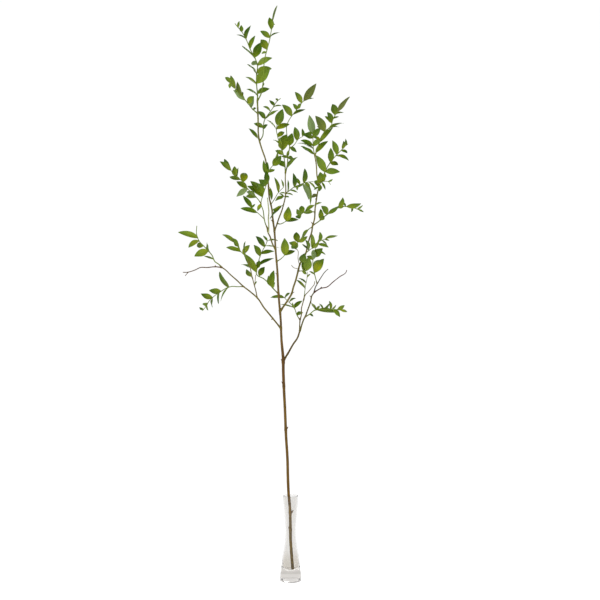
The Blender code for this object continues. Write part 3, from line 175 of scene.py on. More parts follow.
# Leafy sprays: name, parent, depth of the far end, radius at the start, twig points (u, v), leaves.
# A leaf is base u, base v, tip u, tip v, width seen, and the share of its true width that is seen,
# which is below 0 where its underside is seen.
SPRAYS = [
    ("leader_left", "main", 0.045, 0.0014,
     [(257.4, 101), (257.5, 94.5), (256.6, 84.8), (256.6, 74.6), (257.5, 65), (254.7, 57.5),
      (250.4, 49.7), (246.3, 39.7), (242.3, 32.5), (236.3, 25.3), (235, 23.5)],
     [(255.5, 95.7, 246.5, 88.5, 1.7, .35), (258.8, 93.7, 269.8, 88.3, 4.3, .8),
      (255, 84.3, 245.5, 76.6, 2.2, .45), (258, 83.5, 270, 69, 8, 1),
      (255.3, 74.3, 247.5, 63.7, 1.6, .32), (257.8, 73.5, 271.8, 68.2, 6, .9),
      (258.5, 65.5, 272, 57.6, 5, .85), (256.8, 64.5, 251, 62.8, 4.2, -.9),
      (254.5, 58.5, 241.8, 46, 1.5, .28), (256, 57, 261.5, 42.5, 7, 1),
      (251.3, 48.7, 254.7, 35, 3.8, .65), (247, 38.5, 250.7, 24.5, 3.5, .6),
      (245.3, 39.3, 236.5, 34.5, 1.2, .3), (242.3, 31.7, 241.3, 25, 3.5, 1),
      (239.5, 26.5, 239.4, 21, 2.2, .9)]),
    ("leader_right", "main", -0.030, 0.0014,
     [(257.4, 101), (260.8, 94.5), (262.8, 85.5), (263.6, 72), (264.5, 60), (267, 49.7), (269.3, 41.5),
      (270.5, 35), (272, 25), (272.1, 21.5)],
     [(262.8, 86, 264.3, 83.3, 1.6, .9), (263, 58.5, 268, 57.4, 1.8, .9), (266, 52, 261.5, 53.7, 2, .9),
      (267, 49.5, 260.6, 39.6, 6.2, 1), (269, 37.8, 260.1, 31, 4.4, .95), (271, 37, 280, 32, 1.2, .3),
      (271.3, 29.5, 269.5, 17, 5, .95), (272.3, 25.3, 275, 24.2, 1.4, .9),
      (272.1, 22, 277.3, 5.5, 1.9, .35)]),
    ("upper_left", "main", -0.055, 0.0013,
     [(257.8, 113.5), (253.5, 110), (247.3, 102.7), (241.5, 96), (236, 89.8), (231.3, 82.5)],
     [(252.8, 109.5, 256.2, 108.2, 2, .9), (251.8, 107, 253.5, 96.5, 4, -.9),
      (248.3, 103, 254, 96.4, 5, .95), (244.8, 100.5, 233.3, 90.2, 4.5, -.85),
      (242, 97, 236.8, 81.5, 3.8, .75), (242, 97, 242.6, 91.8, 2.5, .9), (240, 91, 235, 89.6, 1.8, .9),
      (235.2, 89, 230.3, 75.2, 4.5, .9), (231.3, 82.5, 225, 77.3, 3.5, .8),
      (231.3, 82.5, 229.6, 88.6, 2.5, .9)]),
    ("main_leaf", "main", 0.002, 0.0011,
     [(259.5, 141), (257.8, 138.2)],
     [(258, 138, 248.8, 128, 3, .75)]),
    ("upper_right", "main", 0.055, 0.0013,
     [(259.6, 141), (262.4, 136.6), (263.4, 126), (264.7, 119.5), (268.3, 114.3), (272.5, 108.5),
      (277.5, 100.8), (280.6, 98.4)],
     [(261.7, 131, 267.3, 124.7, 1.9, .4), (262.8, 127.8, 253.7, 123.3, 3.8, .9),
      (264.5, 118.3, 257.8, 111.4, 4, .85), (265.5, 119, 278.3, 110, 2, .35),
      (269.6, 111, 263.3, 106.3, 2, .5), (273.5, 105.5, 269.2, 100.2, 2.8, .8),
      (274.3, 107.5, 281.8, 105.7, 1.2, .4), (277.5, 101, 275.8, 98.2, 2, .9)]),
    ("centre_left", "s2", -0.022, 0.0013,
     [(285.4, 173.5), (284.6, 162), (283.3, 154.5), (280.4, 145.5), (277.5, 136), (276.4, 129.5),
      (277.2, 124.9)],
     [(284.6, 167, 277.3, 161, 4.6, .9), (284.2, 154.8, 275.3, 150.4, 3.8, .9),
      (284, 150, 286.6, 134, 8, 1), (279.6, 150, 279.3, 137, 3.2, .6),
      (278.6, 145, 273.2, 139.6, 1.5, .4), (279.5, 136.7, 284.5, 131.7, 4, .9),
      (276.3, 130, 266.9, 119.2, 1.2, .25), (278, 129.3, 289.8, 124, 4.3, .85),
      (277.2, 125.2, 282.7, 109, 7.3, 1)]),
    ("centre_right", "s2", 0.072, 0.0013,
     [(285.4, 173.5), (287.3, 165), (288, 155.5), (289.6, 147), (286.8, 134), (286.8, 125.5),
      (291, 117), (295.5, 111.3), (299.5, 105.5), (303.8, 100.8)],
     [(287, 169, 297.3, 156.5, 2.8, .5), (287.5, 158, 294.5, 160.3, 3.6, .8),
      (287.3, 157.5, 281.5, 156.5, 2.4, .9), (290.3, 147.5, 296.7, 152.3, 3.4, .9),
      (288.6, 150.3, 286.8, 158, 2.4, .9), (288.8, 145.8, 292.2, 133.4, 6.5, 1),
      (291, 115.8, 282.2, 104.6, 5.5, .95), (293, 114.5, 305.5, 109.2, 2.6, .5),
      (296, 109.3, 293, 104, 3.2, .9), (297, 108.5, 301.3, 103.5, 3, .8),
      (301, 102.8, 294.9, 91.9, 4.7, .9), (303, 101.5, 313.8, 97.7, 1.4, .3),
      (303.7, 101, 316, 83.7, 6.5, 1)]),
    ("centre_side", "centre_right", 0.030, 0.0010,
     [(289.7, 148.5), (293.8, 145.2), (298.5, 139), (302.8, 136.4)],
     [(296, 140, 294.6, 126.8, 5.5, 1), (302.4, 136.5, 302.2, 128.5, 2.7, .8)]),
    ("d_end_left", "d", -0.030, 0.0011,
     [(314.8, 156), (313.3, 148), (313, 140.5), (312.8, 134)],
     [(314.2, 154.5, 300.5, 146.3, 2.7, .5), (313.4, 149, 297.3, 142.2, 1.7, .35),
      (314, 145.8, 300.7, 140.2, 3.4, .7), (314, 146, 320.8, 139.3, 4.2, .9),
      (312.3, 138.2, 303, 134.5, 4.5, .9), (315, 137.5, 320.7, 128, 5, .95),
      (311.5, 132.5, 307.5, 132.3, 1.8, .9), (312.8, 134.3, 309.2, 115, 6.3, -1)]),
    ("d_end_right", "d", -0.100, 0.0013,
     [(314.8, 156), (318.5, 145), (321, 138.5), (324.5, 131.5), (331, 126.2), (332.5, 120.5),
      (334.8, 115.5), (337.4, 111.5)],
     [(316.5, 153, 327.8, 140.3, 4.3, .65), (319.8, 142.5, 333, 127, 4, .8),
      (324.3, 131, 315.2, 115.8, 6.6, 1), (324, 131, 316.8, 126.2, 2.5, .9),
      (329.5, 128.5, 344, 122.5, 2, .4), (328, 130, 339.3, 126.4, 1.5, .4),
      (329.8, 122.5, 324.8, 116.2, 3, .8), (331.5, 120.5, 327.2, 112.2, 4, .9),
      (334.2, 114.5, 332.5, 104, 5.8, 1), (336, 114.7, 343.8, 112.3, 1.6, .4),
      (334, 119.5, 339, 116.5, 1.6, .5), (320.8, 140.3, 313, 137, 2.4, .8),
      (337.2, 111.8, 349.7, 96.5, 3.8, .55)]),
    ("far_right", "d", 0.010, 0.0013,
     [(318.8, 186), (322.5, 178.8), (325.8, 170), (330, 163), (335.8, 155.8), (341.5, 150),
      (346, 145.5), (348, 144)],
     [(324.5, 172, 315.8, 155.3, 6.5, 1), (327, 172.5, 340, 172, 5.3, .95),
      (325.5, 173.7, 322.3, 180.3, 4, .9), (329.8, 162, 330.7, 147.8, 5.3, 1),
      (331, 163.5, 338.3, 165, 3.8, .9), (335.8, 154, 332.2, 140.2, 5, .9),
      (337, 156.5, 349, 160, 2.7, .55), (342, 148.8, 343.9, 141, 3, .8),
      (342, 151, 347.3, 153, 2.5, .7), (345.6, 145, 345.5, 138.6, 2, .7),
      (321, 181.5, 325.3, 189.8, 1.8, .9)]),
    ("far_right_low", "d", -0.085, 0.0010,
     [(318.8, 186), (321, 182.3), (325, 181.3), (328, 181.5), (330.5, 184.5)],
     [(321, 182, 320, 172, 7, 1), (328.3, 181.3, 333, 179, 1.6, .9),
      (319.6, 184, 319.2, 191.5, 3.6, .9), (320.6, 182.8, 313.8, 181.2, 2.4, .8)]),
    ("arched", "s2", 0.075, 0.0011,
     [(285.5, 193.5), (288.5, 191.3), (293.5, 187.5), (300, 184.5), (306, 182.4), (313.5, 181.5)],
     [(287.7, 192, 287.7, 179.5, 1.5, .5), (290, 190.5, 298, 192.5, 1.5, .6),
      (294, 186.5, 293.2, 173, 4, .8), (299.5, 184.3, 294.7, 177.5, 3, .9),
      (303.8, 183.5, 304.8, 168.5, 4.4, .85), (296.8, 186, 297, 190.5, 2, .9),
      (302.5, 184, 309.5, 200, 4.3, -.8), (304, 183.5, 293.6, 187.9, 2, .6),
      (306, 183, 309.8, 187.8, 2.4, .9), (309, 182.5, 316.8, 190.7, 1.6, .5),
      (306.5, 183, 310.5, 205.3, 3, .7), (305, 183.5, 309.6, 191.6, 3, .8)]),
    ("s2_node_left", "s2", 0.012, 0.0010,
     [(285.4, 197), (283.6, 195.8)],
     [(283.8, 196, 275, 200.5, 3.1, .7), (283.8, 195.8, 279, 193.5, 1.2, .6)]),
    ("d_left", "d", -0.085, 0.0011,
     [(314.9, 212), (310, 211.7), (302.5, 213.3), (301, 214.7)],
     [(313, 211.7, 303, 212.2, 3.8, .85), (303.3, 213, 301.5, 205.3, 4.7, 1),
      (301.6, 214.4, 296.8, 209.6, 4.4, .9), (301.5, 214.8, 295.8, 218, 3.5, .9)]),
    ("d_node_left", "d", -0.060, 0.0010,
     [(315.7, 205), (313.8, 205.2)],
     [(314, 205.2, 304.8, 211, 3, .8), (315.2, 205, 321.8, 202.2, 1.5, .5)]),
    ("d_right", "d", 0.012, 0.0013,
     [(312.9, 225.3), (318, 222), (323, 217.8), (327.3, 214.3), (336, 208.8), (344.5, 206.5),
      (351, 207), (358.5, 209.6)],
     [(319.8, 219, 320.5, 208.8, 4.4, 1), (320, 220.3, 324.2, 216, 3.5, .9),
      (327, 213.8, 321.5, 206.2, 5, .9), (328, 214, 338.8, 206.2, 3.6, .85),
      (338.3, 206.5, 343, 197.5, 4.3, .85), (339, 208, 344, 206, 2, .9),
      (345.5, 205.5, 343.4, 202.3, 1.7, .9), (346.5, 205.5, 361, 204, 4.3, .85),
      (352.3, 207.5, 351.3, 212, 1.8, .9), (357, 209, 363, 205, 1.7, .7),
      (358.2, 209.6, 363.7, 212, 1.6, .9)]),
    ("d_low_left", "d", -0.066, 0.0011,
     [(312.5, 226.7), (309, 229), (303.3, 235.5), (298, 242.3), (296, 244.5)],
     [(308.5, 229.8, 301, 238.3, 3, .5), (297.8, 242, 296.5, 231.8, 5.5, 1),
      (298.3, 242.3, 307.7, 236.2, 3.5, .8), (297.3, 242.5, 291.8, 248.8, 5, .9),
      (296, 242.5, 289, 242.5, 4, .9)]),
    ("d_cluster", "d", -0.045, 0.0011,
     [(305.3, 253.7), (308, 251.3), (311, 249), (313, 248.3)],
     [(308.4, 250.5, 306, 239.7, 2.8, .5), (309, 250.5, 301.8, 244, 1.6, .6),
      (312.5, 248.5, 311.7, 233.8, 4, .8), (312.5, 247.5, 317.3, 242.3, 2.5, .9)]),
    ("d_leaf", "d", -0.040, 0.0010,
     [(300.3, 264), (301.8, 262)],
     [(301.6, 262.2, 305, 253.3, 6.4, 1)]),
    ("d_twig_leaf", "d", -0.010, 0.0011,
     [(298.2, 271), (300.5, 271), (303.5, 270.6), (306.3, 270)],
     [(306, 269.8, 308.5, 257, 7, 1), (303.3, 270.4, 303.8, 257.5, 4.8, .9),
      (302, 271, 306.5, 274.2, 2.8, .9), (304, 270.5, 310.5, 268.2, 1.5, .6)]),
    ("middle_spray", "bare_middle", 0.105, 0.0011,
     [(317.2, 284), (315.3, 277), (313.3, 268), (312.8, 262), (314.3, 252.5), (319, 241.8), (325, 239)],
     [(314.5, 275, 309.3, 271.2, 1.4, .6), (315.3, 272.7, 324, 258.7, 7, 1),
      (313, 266, 321, 260.3, 4, -.9), (313, 259.8, 306.5, 256, 3.4, .9),
      (313.5, 259.5, 313.5, 249.5, 4.5, -.9), (315, 257, 322.4, 248.8, 6.8, 1),
      (315.2, 251.3, 325.6, 254.4, 2, .7), (322, 241, 326.9, 244.8, 1.5, .6),
      (319.3, 241, 320, 231.8, 3.5, .85), (324.8, 239, 338, 235.3, 2.3, .5),
      (324.5, 239.3, 329.5, 240.7, 1.5, .9), (318.3, 244.3, 328.7, 247.5, 3, .7),
      (316.5, 248, 319, 238, 1.7, .5)]),
    ("right_spray", "e_right", 0.005, 0.0013,
     [(305.2, 317), (309.5, 314.3), (314.5, 310.3), (324, 309.5), (337, 309.6), (341, 310.3)],
     [(309.5, 314, 313.5, 316.5, 1.8, .9), (314.5, 310, 320, 305.5, 2.3, .7),
      (317, 309.6, 337.5, 312, 4, .7), (323.5, 309, 330, 303.2, 2, .7),
      (330.5, 309, 329.3, 300.8, 2.5, .7), (322.8, 309.3, 319, 303.2, 1.5, .6),
      (331.5, 309, 336.3, 304.8, 1.5, .6), (337, 309.3, 344.8, 305.3, 3.4, .9),
      (333.5, 310, 340, 316.9, 3.7, .9), (340.5, 310.3, 347.6, 311.7, 2.3, .9)]),
    ("e_right_leaf", "e_right", 0.030, 0.0010,
     [(310.5, 302.5), (312.2, 303.6)],
     [(312, 303.6, 316, 310, 2.4, .6)]),
    ("pale_shoot", "e_inner", 0.080, 0.0010,
     [(303.6, 300), (304.5, 294), (305.5, 285.5), (307, 278.5), (307.3, 272)],
     [(304.8, 288.5, 296.3, 280.2, 2.3, .45), (305.8, 283, 298.2, 278, 1.6, .5),
      (307.2, 277.5, 310.3, 274, 1.4, .7)]),
    ("low_left", "e_left", 0.082, 0.0011,
     [(300, 320), (296.8, 314.8), (294.8, 309), (291.5, 304.5), (286.5, 300), (284, 297.3)],
     [(297, 315.3, 303.4, 312.2, 3.3, .8), (294.5, 308, 302.4, 300.7, 3.5, .75),
      (294.5, 309, 292.3, 302.5, 1.8, .7), (293.5, 308.3, 280.5, 304.3, 1.3, .35),
      (289.8, 301.8, 295.6, 298, 1.8, .5), (284.5, 297.5, 270, 297.5, 3, .6),
      (284.7, 298, 290, 292.8, 2, .6)]),
    ("main_right", "main", -0.004, 0.0013,
     [(277, 261.5), (280, 259.5), (283, 257), (284.6, 255.2)],
     [(284.2, 254.8, 284.5, 238, 7, 1), (284.5, 255, 295.2, 250.3, 3.7, .8)]),
    ("back_left", "main", 0.100, 0.0014,
     [(278.4, 294), (273, 288.3), (268.5, 283), (264, 279), (256.5, 274.3), (257.6, 266.5),
      (259.7, 257.5), (263, 249.7), (265.5, 245.3), (267.3, 240.8)],
     [(271.5, 286.5, 273.8, 270.4, 5.2, .9), (271.5, 286, 268, 275.5, 4, .85),
      (272.8, 288, 274.8, 282.4, 2.7, .9), (259.6, 275.6, 264.8, 266.8, 5.2, 1),
      (256.6, 272.5, 243.4, 253.3, 6, 1), (256.8, 271, 241, 264.3, 2.3, .45),
      (257, 268, 259.9, 260.8, 4, .9), (258, 266, 274.2, 257.9, 3, .55), (259.3, 256, 254, 245, 5, .9),
      (261.5, 254, 274.3, 251.3, 3.5, .7), (264.2, 246.8, 255.5, 236.3, 4.7, .9),
      (266.9, 241, 263, 235.6, 2, .7), (267.2, 241, 278, 240.3, 1.4, .35),
      (265.3, 245.8, 279.5, 248.2, 1.1, .35)]),
    ("a_up_leaf", "a_up", 0.020, 0.0010,
     [(252.5, 278), (250.9, 276.4)],
     [(251.2, 276.6, 246.4, 269.6, 4, .85)]),
    ("a_up_spray", "a_up", 0.045, 0.0011,
     [(249.3, 263), (247, 258), (241.5, 252.3), (238.5, 248.7), (237.5, 246), (236, 243)],
     [(241, 252, 226.3, 247.2, 3.7, .7), (237.7, 246.5, 232.4, 238.3, 4, .8),
      (236.3, 243.5, 222.3, 234.2, 3.5, .7), (243.5, 253.5, 249.8, 245, 4.5, .95),
      (246.5, 256.5, 244.5, 241.3, 1.4, .3), (240, 250.5, 237.9, 242.5, 1.4, .5)]),
    ("a_end", "a", -0.092, 0.0013,
     [(222, 267.5), (218, 263.7), (215.3, 262), (212, 255.3), (207, 249.5), (203.5, 245.8),
      (199, 240.8), (196.5, 233), (196.8, 226)],
     [(207.8, 251.5, 194.3, 256.4, 6, 1), (209.3, 252, 206.7, 242.4, 2.2, .5),
      (203.5, 246, 196.2, 245.5, 4.5, 1), (199, 241, 188, 247.6, 4.1, .9),
      (197.7, 238, 178, 232.4, 4.8, .9), (214.3, 259.5, 203.5, 256, 1.5, .6)]),
    ("a_left", "a", -0.118, 0.0011,
     [(243.5, 286.5), (238, 286.7), (231.5, 286.5), (226.5, 288), (221.5, 291), (215, 295.5),
      (209.5, 300.5), (205.5, 307), (202.5, 310.7)],
     [(228.8, 286.8, 219.3, 271.8, 4, .6), (228.5, 288, 220.3, 301.5, 1.4, .25),
      (221, 291, 209, 290.3, 4.8, 1), (219.6, 293, 218.5, 304, 1.9, .4),
      (212.5, 297.5, 200.8, 293.5, 4.5, .95), (213, 297.5, 211.8, 307.5, 1.5, .4),
      (208, 303.3, 202.3, 304.7, 3, .9), (207, 305, 208, 311, 1.4, .6),
      (203.5, 309.5, 199.2, 307.3, 2, .9)]),
    ("s2_leaf", "s2", -0.005, 0.0013,
     [(277.2, 223.5), (280.5, 224), (283, 223), (286.5, 220.7)],
     [(286.3, 221, 288.5, 207, 6.8, 1), (285.8, 221.3, 298.8, 219.4, 3.5, .75)]),
    ("s2_pair", "s2", -0.005, 0.0010,
     [(283.6, 205), (281.8, 205.8)],
     [(282, 205.7, 271.7, 210.6, 2.8, .6), (282, 205.7, 269.5, 218.5, 2.4, .45)]),
    ("s1_spray", "s1", -0.040, 0.0013,
     [(267.3, 228), (265.3, 223.5), (264.3, 219), (263, 210), (261, 204), (262.7, 196), (265, 189),
      (266.3, 184.5)],
     [(260.8, 203.7, 257.5, 211, 3, .9), (262.8, 195.6, 250.3, 180.8, 6, .95),
      (262.5, 197, 247, 185.2, 5, .85), (263.3, 194, 256.7, 183.1, 6, 1),
      (265.9, 186, 259, 180, 5.8, 1), (266.2, 185, 266.5, 170.5, 4.5, .9)]),
    ("s1_low", "s1_spray", 0.012, 0.0010,
     [(264.5, 219), (259.7, 214.7), (257, 212.3), (252.3, 208.5), (251.7, 207.3)],
     [(257.5, 212.6, 240.5, 208.3, 4, .7), (252, 208, 243, 195.5, 4, .85),
      (252, 208, 255.3, 204, 1.7, .9)]),
    ("left_shoot", "s1_spray", -0.090, 0.0011,
     [(261, 203.5), (258, 199.3), (252.5, 193.5), (247, 188), (242, 181), (235.5, 176), (230.8, 170.2)],
     [(255.5, 196.5, 246.8, 191.7, 4.5, -.9), (256, 197.5, 245.8, 196, 4, .8),
      (247.5, 189.5, 236.5, 196.7, 4.5, -.9), (243.3, 182, 246, 172.3, 6.5, 1),
      (247, 188.5, 236.5, 181, 4.5, .85), (240, 180, 229.5, 177, 3.5, .8),
      (236, 176.5, 234.4, 166.2, 4.5, .9), (237.5, 177, 238.3, 167.5, 2, .7),
      (231, 170.5, 219.9, 161.2, 4, .85), (231.2, 170.3, 224, 158.8, 4, .85)]),
    ("inner_shoot", "main", -0.015, 0.0010,
     [(270.8, 204.5), (273.7, 200.3), (278.5, 192.5), (283.5, 187.3)],
     [(278.3, 192.5, 274.8, 177, 3, .7), (283.3, 187.6, 281, 179, 1.5, .5)]),
    ("main_hanging", "main", 0.008, 0.0010,
     [(268.4, 187), (270.2, 188)],
     [(270, 188, 271.7, 200.5, 2.8, .8)]),
    ("top_left_pair", "main", -0.002, 0.0011,
     [(267.7, 177), (266.6, 174.4)],
     [(266.8, 174.6, 263.2, 160.3, 3.8, .85), (266.8, 174.6, 267.3, 162, 4.5, .9)]),
    ("top_right_leaf", "main", -0.018, 0.0011,
     [(267.6, 174), (269.5, 170), (271.5, 167), (273.3, 165.2)],
     [(272.8, 165.5, 281.3, 155.5, 6.3, 1), (272.5, 166, 278.5, 149.5, 2.5, .6),
      (268.7, 172.4, 274.8, 169.4, 2.8, .8)]),
]


def spot(u, v, depth):
    """The place of a picture point that lies this far behind the plane of the vase's axis."""
    reach = UNIT * (1 + depth / EYE_DISTANCE)
    return Vector((
        (EYE_U - AXIS_U) * UNIT + (u - EYE_U) * reach,
        depth,
        (FOOT_V - EYE_V) * UNIT + (EYE_V - v) * reach,
    ))


def eye():
    """The place from which the picture is seen."""
    return Vector(((EYE_U - AXIS_U) * UNIT, -EYE_DISTANCE, (FOOT_V - EYE_V) * UNIT))


def read_off(table, key):
    """The value at key, on straight lines between the table's (key, value) rows, whose keys fall."""
    for (high, at_high), (low, at_low) in zip(table, table[1:]):
        if key >= low:
            return at_high + (at_low - at_high) * min(1.0, (high - key) / (high - low))
    return table[-1][1]


def nearest(route, u, v):
    """The point (u, v, depth, radius) on the route that is nearest to (u, v) in the picture, and the
    route's direction in space there."""
    best, best_gap = None, math.inf
    for first, second in zip(route, route[1:]):
        du, dv = second[0] - first[0], second[1] - first[1]
        share = ((u - first[0]) * du + (v - first[1]) * dv) / (du * du + dv * dv)
        share = min(1.0, max(0.0, share))
        point = tuple(a + (b - a) * share for a, b in zip(first, second))
        gap = math.hypot(point[0] - u, point[1] - v)
        if gap < best_gap:
            best, best_gap = (point, (spot(*second[:3]) - spot(*first[:3])).normalized()), gap
    return best


def routed(parent, points, end_depth, start_radius, end_radius):
    """A route (u, v, depth, radius) that leaves its parent at the first point and drifts to end_depth."""
    start, _ = nearest(parent, *points[0])
    flat = [start[:2]] + list(points[1:])
    lengths = [0.0]
    for first, second in zip(flat, flat[1:]):
        lengths.append(lengths[-1] + math.dist(first, second))
    route = []
    for (u, v), length in zip(flat, lengths):
        share = length / lengths[-1]
        depth = start[2] + (end_depth - start[2]) * share
        route.append((u, v, depth, start_radius + (end_radius - start_radius) * share))
    return route


def ring_axes(direction):
    """Two directions across this one."""
    helper = Vector((0, 1, 0)) if abs(direction.y) < 0.9 else Vector((1, 0, 0))
    side = direction.cross(helper).normalized()
    return side, direction.cross(side).normalized()


def tube(points, radii, sides):
    """Vertices and faces of a closed tube through the points, flat at both ends."""
    verts, faces = [], []
    for i, (point, radius) in enumerate(zip(points, radii)):
        before = points[max(0, i - 1)]
        after = points[min(len(points) - 1, i + 1)]
        into = (point - before).normalized() if i else (after - point).normalized()
        away = (after - point).normalized() if i < len(points) - 1 else into
        side, other = ring_axes((into + away).normalized())
        for k in range(sides):
            angle = 2 * math.pi * k / sides
            verts.append(point + radius * (math.cos(angle) * side + math.sin(angle) * other))
    for i in range(len(points) - 1):
        for k in range(sides):
            a, b = i * sides + k, i * sides + (k + 1) % sides
            faces += [(a, b, b + sides), (a, b + sides, a + sides)]
    last = (len(points) - 1) * sides
    faces.append(tuple(reversed(range(sides))))
    faces.append(tuple(last + k for k in range(sides)))
    return verts, faces


def route_tube(route, sides):
    """The tube of a route given as (u, v, depth, radius)."""
    return tube([spot(*p[:3]) for p in route], [p[3] for p in route], sides)


def bezier(start, bend, end, share):
    return start * (1 - share) ** 2 + bend * 2 * share * (1 - share) + end * share ** 2


def facing(direction, twig, place, seen):
    """The blade's upper normal: it turns so that this share of its width is seen from the eye, and of
    the two ways to turn it takes the one whose upper side looks towards the twig's tip."""
    view = (eye() - place).normalized()
    across_view = (view - direction * view.dot(direction)).normalized()
    side = direction.cross(across_view)
    turn = math.acos(min(1.0, abs(seen)))
    sign = 1 if seen > 0 else -1
    ways = [sign * (math.cos(turn) * across_view + way * math.sin(turn) * side) for way in (1, -1)]
    return max(ways, key=lambda normal: normal.dot(twig))


def blade(root, bend, tip, normal, width, outline, thickness, skip_stalk=0.0):
    """Vertices and faces of a thin closed blade along the curve from root to tip. Both its faces are
    split alike, so they never cross."""
    rows = [(skip_stalk, STALK_WIDTH / width)] + [row for row in outline if row[0] > skip_stalk]
    verts, faces = [], []
    for share, wide in rows:
        middle = bezier(root, bend, tip, share)
        along = ((bend - root) * (1 - share) + (tip - bend) * share).normalized()
        across = along.cross(normal).normalized()
        up = across.cross(along) * thickness / 2
        half = across * width * wide / 2
        verts += [middle - half + up, middle + half + up, middle + half - up, middle - half - up]
    for i in range(len(rows) - 1):
        a = 4 * i
        b = a + 4
        faces += [(a, a + 1, b + 1), (a, b + 1, b)]
        faces += [(a + 2, a + 3, b + 3), (a + 2, b + 3, b + 2)]
        faces += [(a + 1, a + 2, b + 2), (a + 1, b + 2, b + 1)]
        faces += [(a + 3, a, b), (a + 3, b, b + 3)]
    end = 4 * len(rows) - 4
    verts += [tip + up, tip - up]
    high, low = end + 4, end + 5
    faces += [(end, end + 1, high), (end + 2, end + 3, low)]
    faces += [(end + 1, end + 2, low), (end + 1, low, high), (end + 3, end, high), (end + 3, high, low)]
    faces.append((3, 2, 1, 0))
    return verts, faces


class Placed:
    """What already stands, for finding clear ways past it."""

    def __init__(self):
        self.pieces = []

    def add(self, node, shape):
        low, high = self.box(shape)
        self.pieces.append((node, low, high, BVHTree.FromPolygons(*shape)))

    def box(self, shape):
        low = Vector(min(vert[axis] for vert in shape[0]) for axis in range(3))
        high = Vector(max(vert[axis] for vert in shape[0]) for axis in range(3))
        return low, high

    def met(self, shape):
        """The nodes whose pieces the shape touches."""
        low, high = self.box(shape)
        tree = BVHTree.FromPolygons(*shape)
        found = set()
        for other, other_low, other_high, other_tree in self.pieces:
            apart = any(low[i] > other_high[i] or high[i] < other_low[i] for i in range(3))
            if not apart and tree.overlap(other_tree):
                found.add(other)
        return found


def leaf_swings(seen_length, true_length, away, draw):
    """Depths of the tip behind the base to try, the natural one first."""
    swing = math.sqrt(max(0.0, true_length ** 2 - seen_length ** 2))
    swing = min(MOST_SWING * true_length, max(LEAST_SWING * seen_length, swing))
    swing *= away * draw.uniform(*SWING_SPREAD)
    return [swing * factor for factor in SWING_FACTORS]


def bud(route, base, tip, radius):
    """A short stub that narrows from its sunk base to its tip."""
    (_, _, depth, _), _ = nearest(route, *base)
    ends = [spot(*base, depth), spot(*tip, depth - BUD_FORWARD)]
    return tube(ends, [radius, BUD_TIP * radius], BUD_SIDES)


def stub_and_twig(route, parent_radius, radius):
    """The woody stub on the parent, and the twig that butts on it a small gap further on."""
    start, second = spot(*route[0][:3]), spot(*route[1][:3])
    away = (second - start).normalized()
    reach = parent_radius + STUB_REACH
    stub = tube([start, start + away * reach], [radius * COLLAR, radius * COLLAR], BRANCH_SIDES)
    lead = start + away * (reach + GAP)
    line = [lead, lead + away * TWIG_LEAD]
    for point in route[1:]:
        place = spot(*point[:3])
        if (place - start).length > reach + GAP + TWIG_SPARE * TWIG_LEAD:
            line.append(place)
    radii = [radius * (1 - (1 - TWIG_TIP) * i / (len(line) - 1)) for i in range(len(line))]
    return stub, tube(line, radii, TWIG_SIDES)


def woody_shapes():
    """The routes and the closed shapes of the main stem, its branches and its buds."""
    routes = {"main": [(u, v, depth, read_off(MAIN_RADII, v)) for u, v, depth in MAIN]}
    shapes = [route_tube(routes["main"], MAIN_SIDES)]
    for name, parent, end_depth, start_radius, end_radius, points in BRANCHES:
        routes[name] = routed(routes[parent], points, end_depth, start_radius, end_radius)
        shapes.append(route_tube(routes[name], BRANCH_SIDES))
    for parent, base, tip, radius in BUDS:
        shapes.append(bud(routes[parent], base, tip, radius))
    return routes, shapes


# The finer leaves: their stations from root to tip, their columns from edge to edge, and their thickness.
LEAF_STATIONS = 16
LEAF_COLUMNS = (-1.0, -0.74, -0.44, -0.17, 0.0, 0.17, 0.44, 0.74, 1.0)
LEAF_THICK, MARGIN_THICK, STALK_THICK = 0.00038, 0.00014, 0.0007
STALK_END, STALK_ROUNDING = 0.12, 0.6  # the stalk's share of the length, and how it thins to its sides
STALK_HALF, TIP_HALF = 0.55, 0.00012  # the stalk's half width over STALK_WIDTH, and the tip's half width
LEAF_WIDEST, LEAF_FULLNESS, LEAF_NARROWING = 0.90, 0.80, 0.14  # these shape the outline
# The least and the most that a leaf draws.
LEAF_FOLD, LEAF_WAVE, LEAF_WAVES, LEAF_DROOP = (0.06, 0.24), (0.0, 0.05), (1.0, 2.0), (-0.01, 0.05)
LEAF_TWIST, LEAF_LEAN, MOST_YELLOW = 16, 0.06, 0.6  # twist in degrees; twist and lean go either way
TWIST_REST, TIP_DROOP = 0.4, 1.4  # where the twist is nothing, and how much more the tip hangs
FOLD_GROWTH = 2.2  # how fast the fold grows with the blade's width
EDGE_LAG = 1.7  # how far one edge's waves run ahead of the other's, in radians
GROOVE_DEPTH, GROOVE_WIDTH = 0.00016, 0.14  # the groove along the midrib

# The finer stems.
TWIG_RING, BRANCH_RING, MAIN_RING, BUD_RING = 10, 14, 24, 10
TWIG_ROUGH, BRANCH_ROUGH, MAIN_ROUGH, BUD_ROUGH = 0.04, 0.06, 0.05, 0.05  # unevenness over the radius
ROUGH_ROUND, ROUGH_ALONG = 1.3, 220  # how fast the unevenness changes round the stem, and in a metre
STEM_STEP = 0.0025  # how far apart the rings of a stem lie
DOME_ANGLES = (30, 60, 84)  # the rings of a stem's rounded end, in degrees
NODE_SWELL, NODE_REACH = 0.30, 0.0013  # a twig's swelling where a leaf leaves it
JOINT_SWELL = 0.16  # the woody stem's swelling where a branch or bud leaves it
MAIN_JOINT_REACH, BRANCH_JOINT_REACH = 0.0038, 0.0026
FLARE, FLARE_REACH = 0.55, 2.2  # the extra radius at a root, and its reach over the root's radius
BRANCH_ROOT, TWIG_ROOT = 1.6, 1.8  # a root's radius over that of its branch or twig
BUD_SHAPE = [(0.0, 0.9), (0.15, 1.15), (0.35, 1.2), (0.55, 1.0), (0.75, 0.7), (0.9, 0.4), (1.0, 0.12)]
BUD_END = 0.4

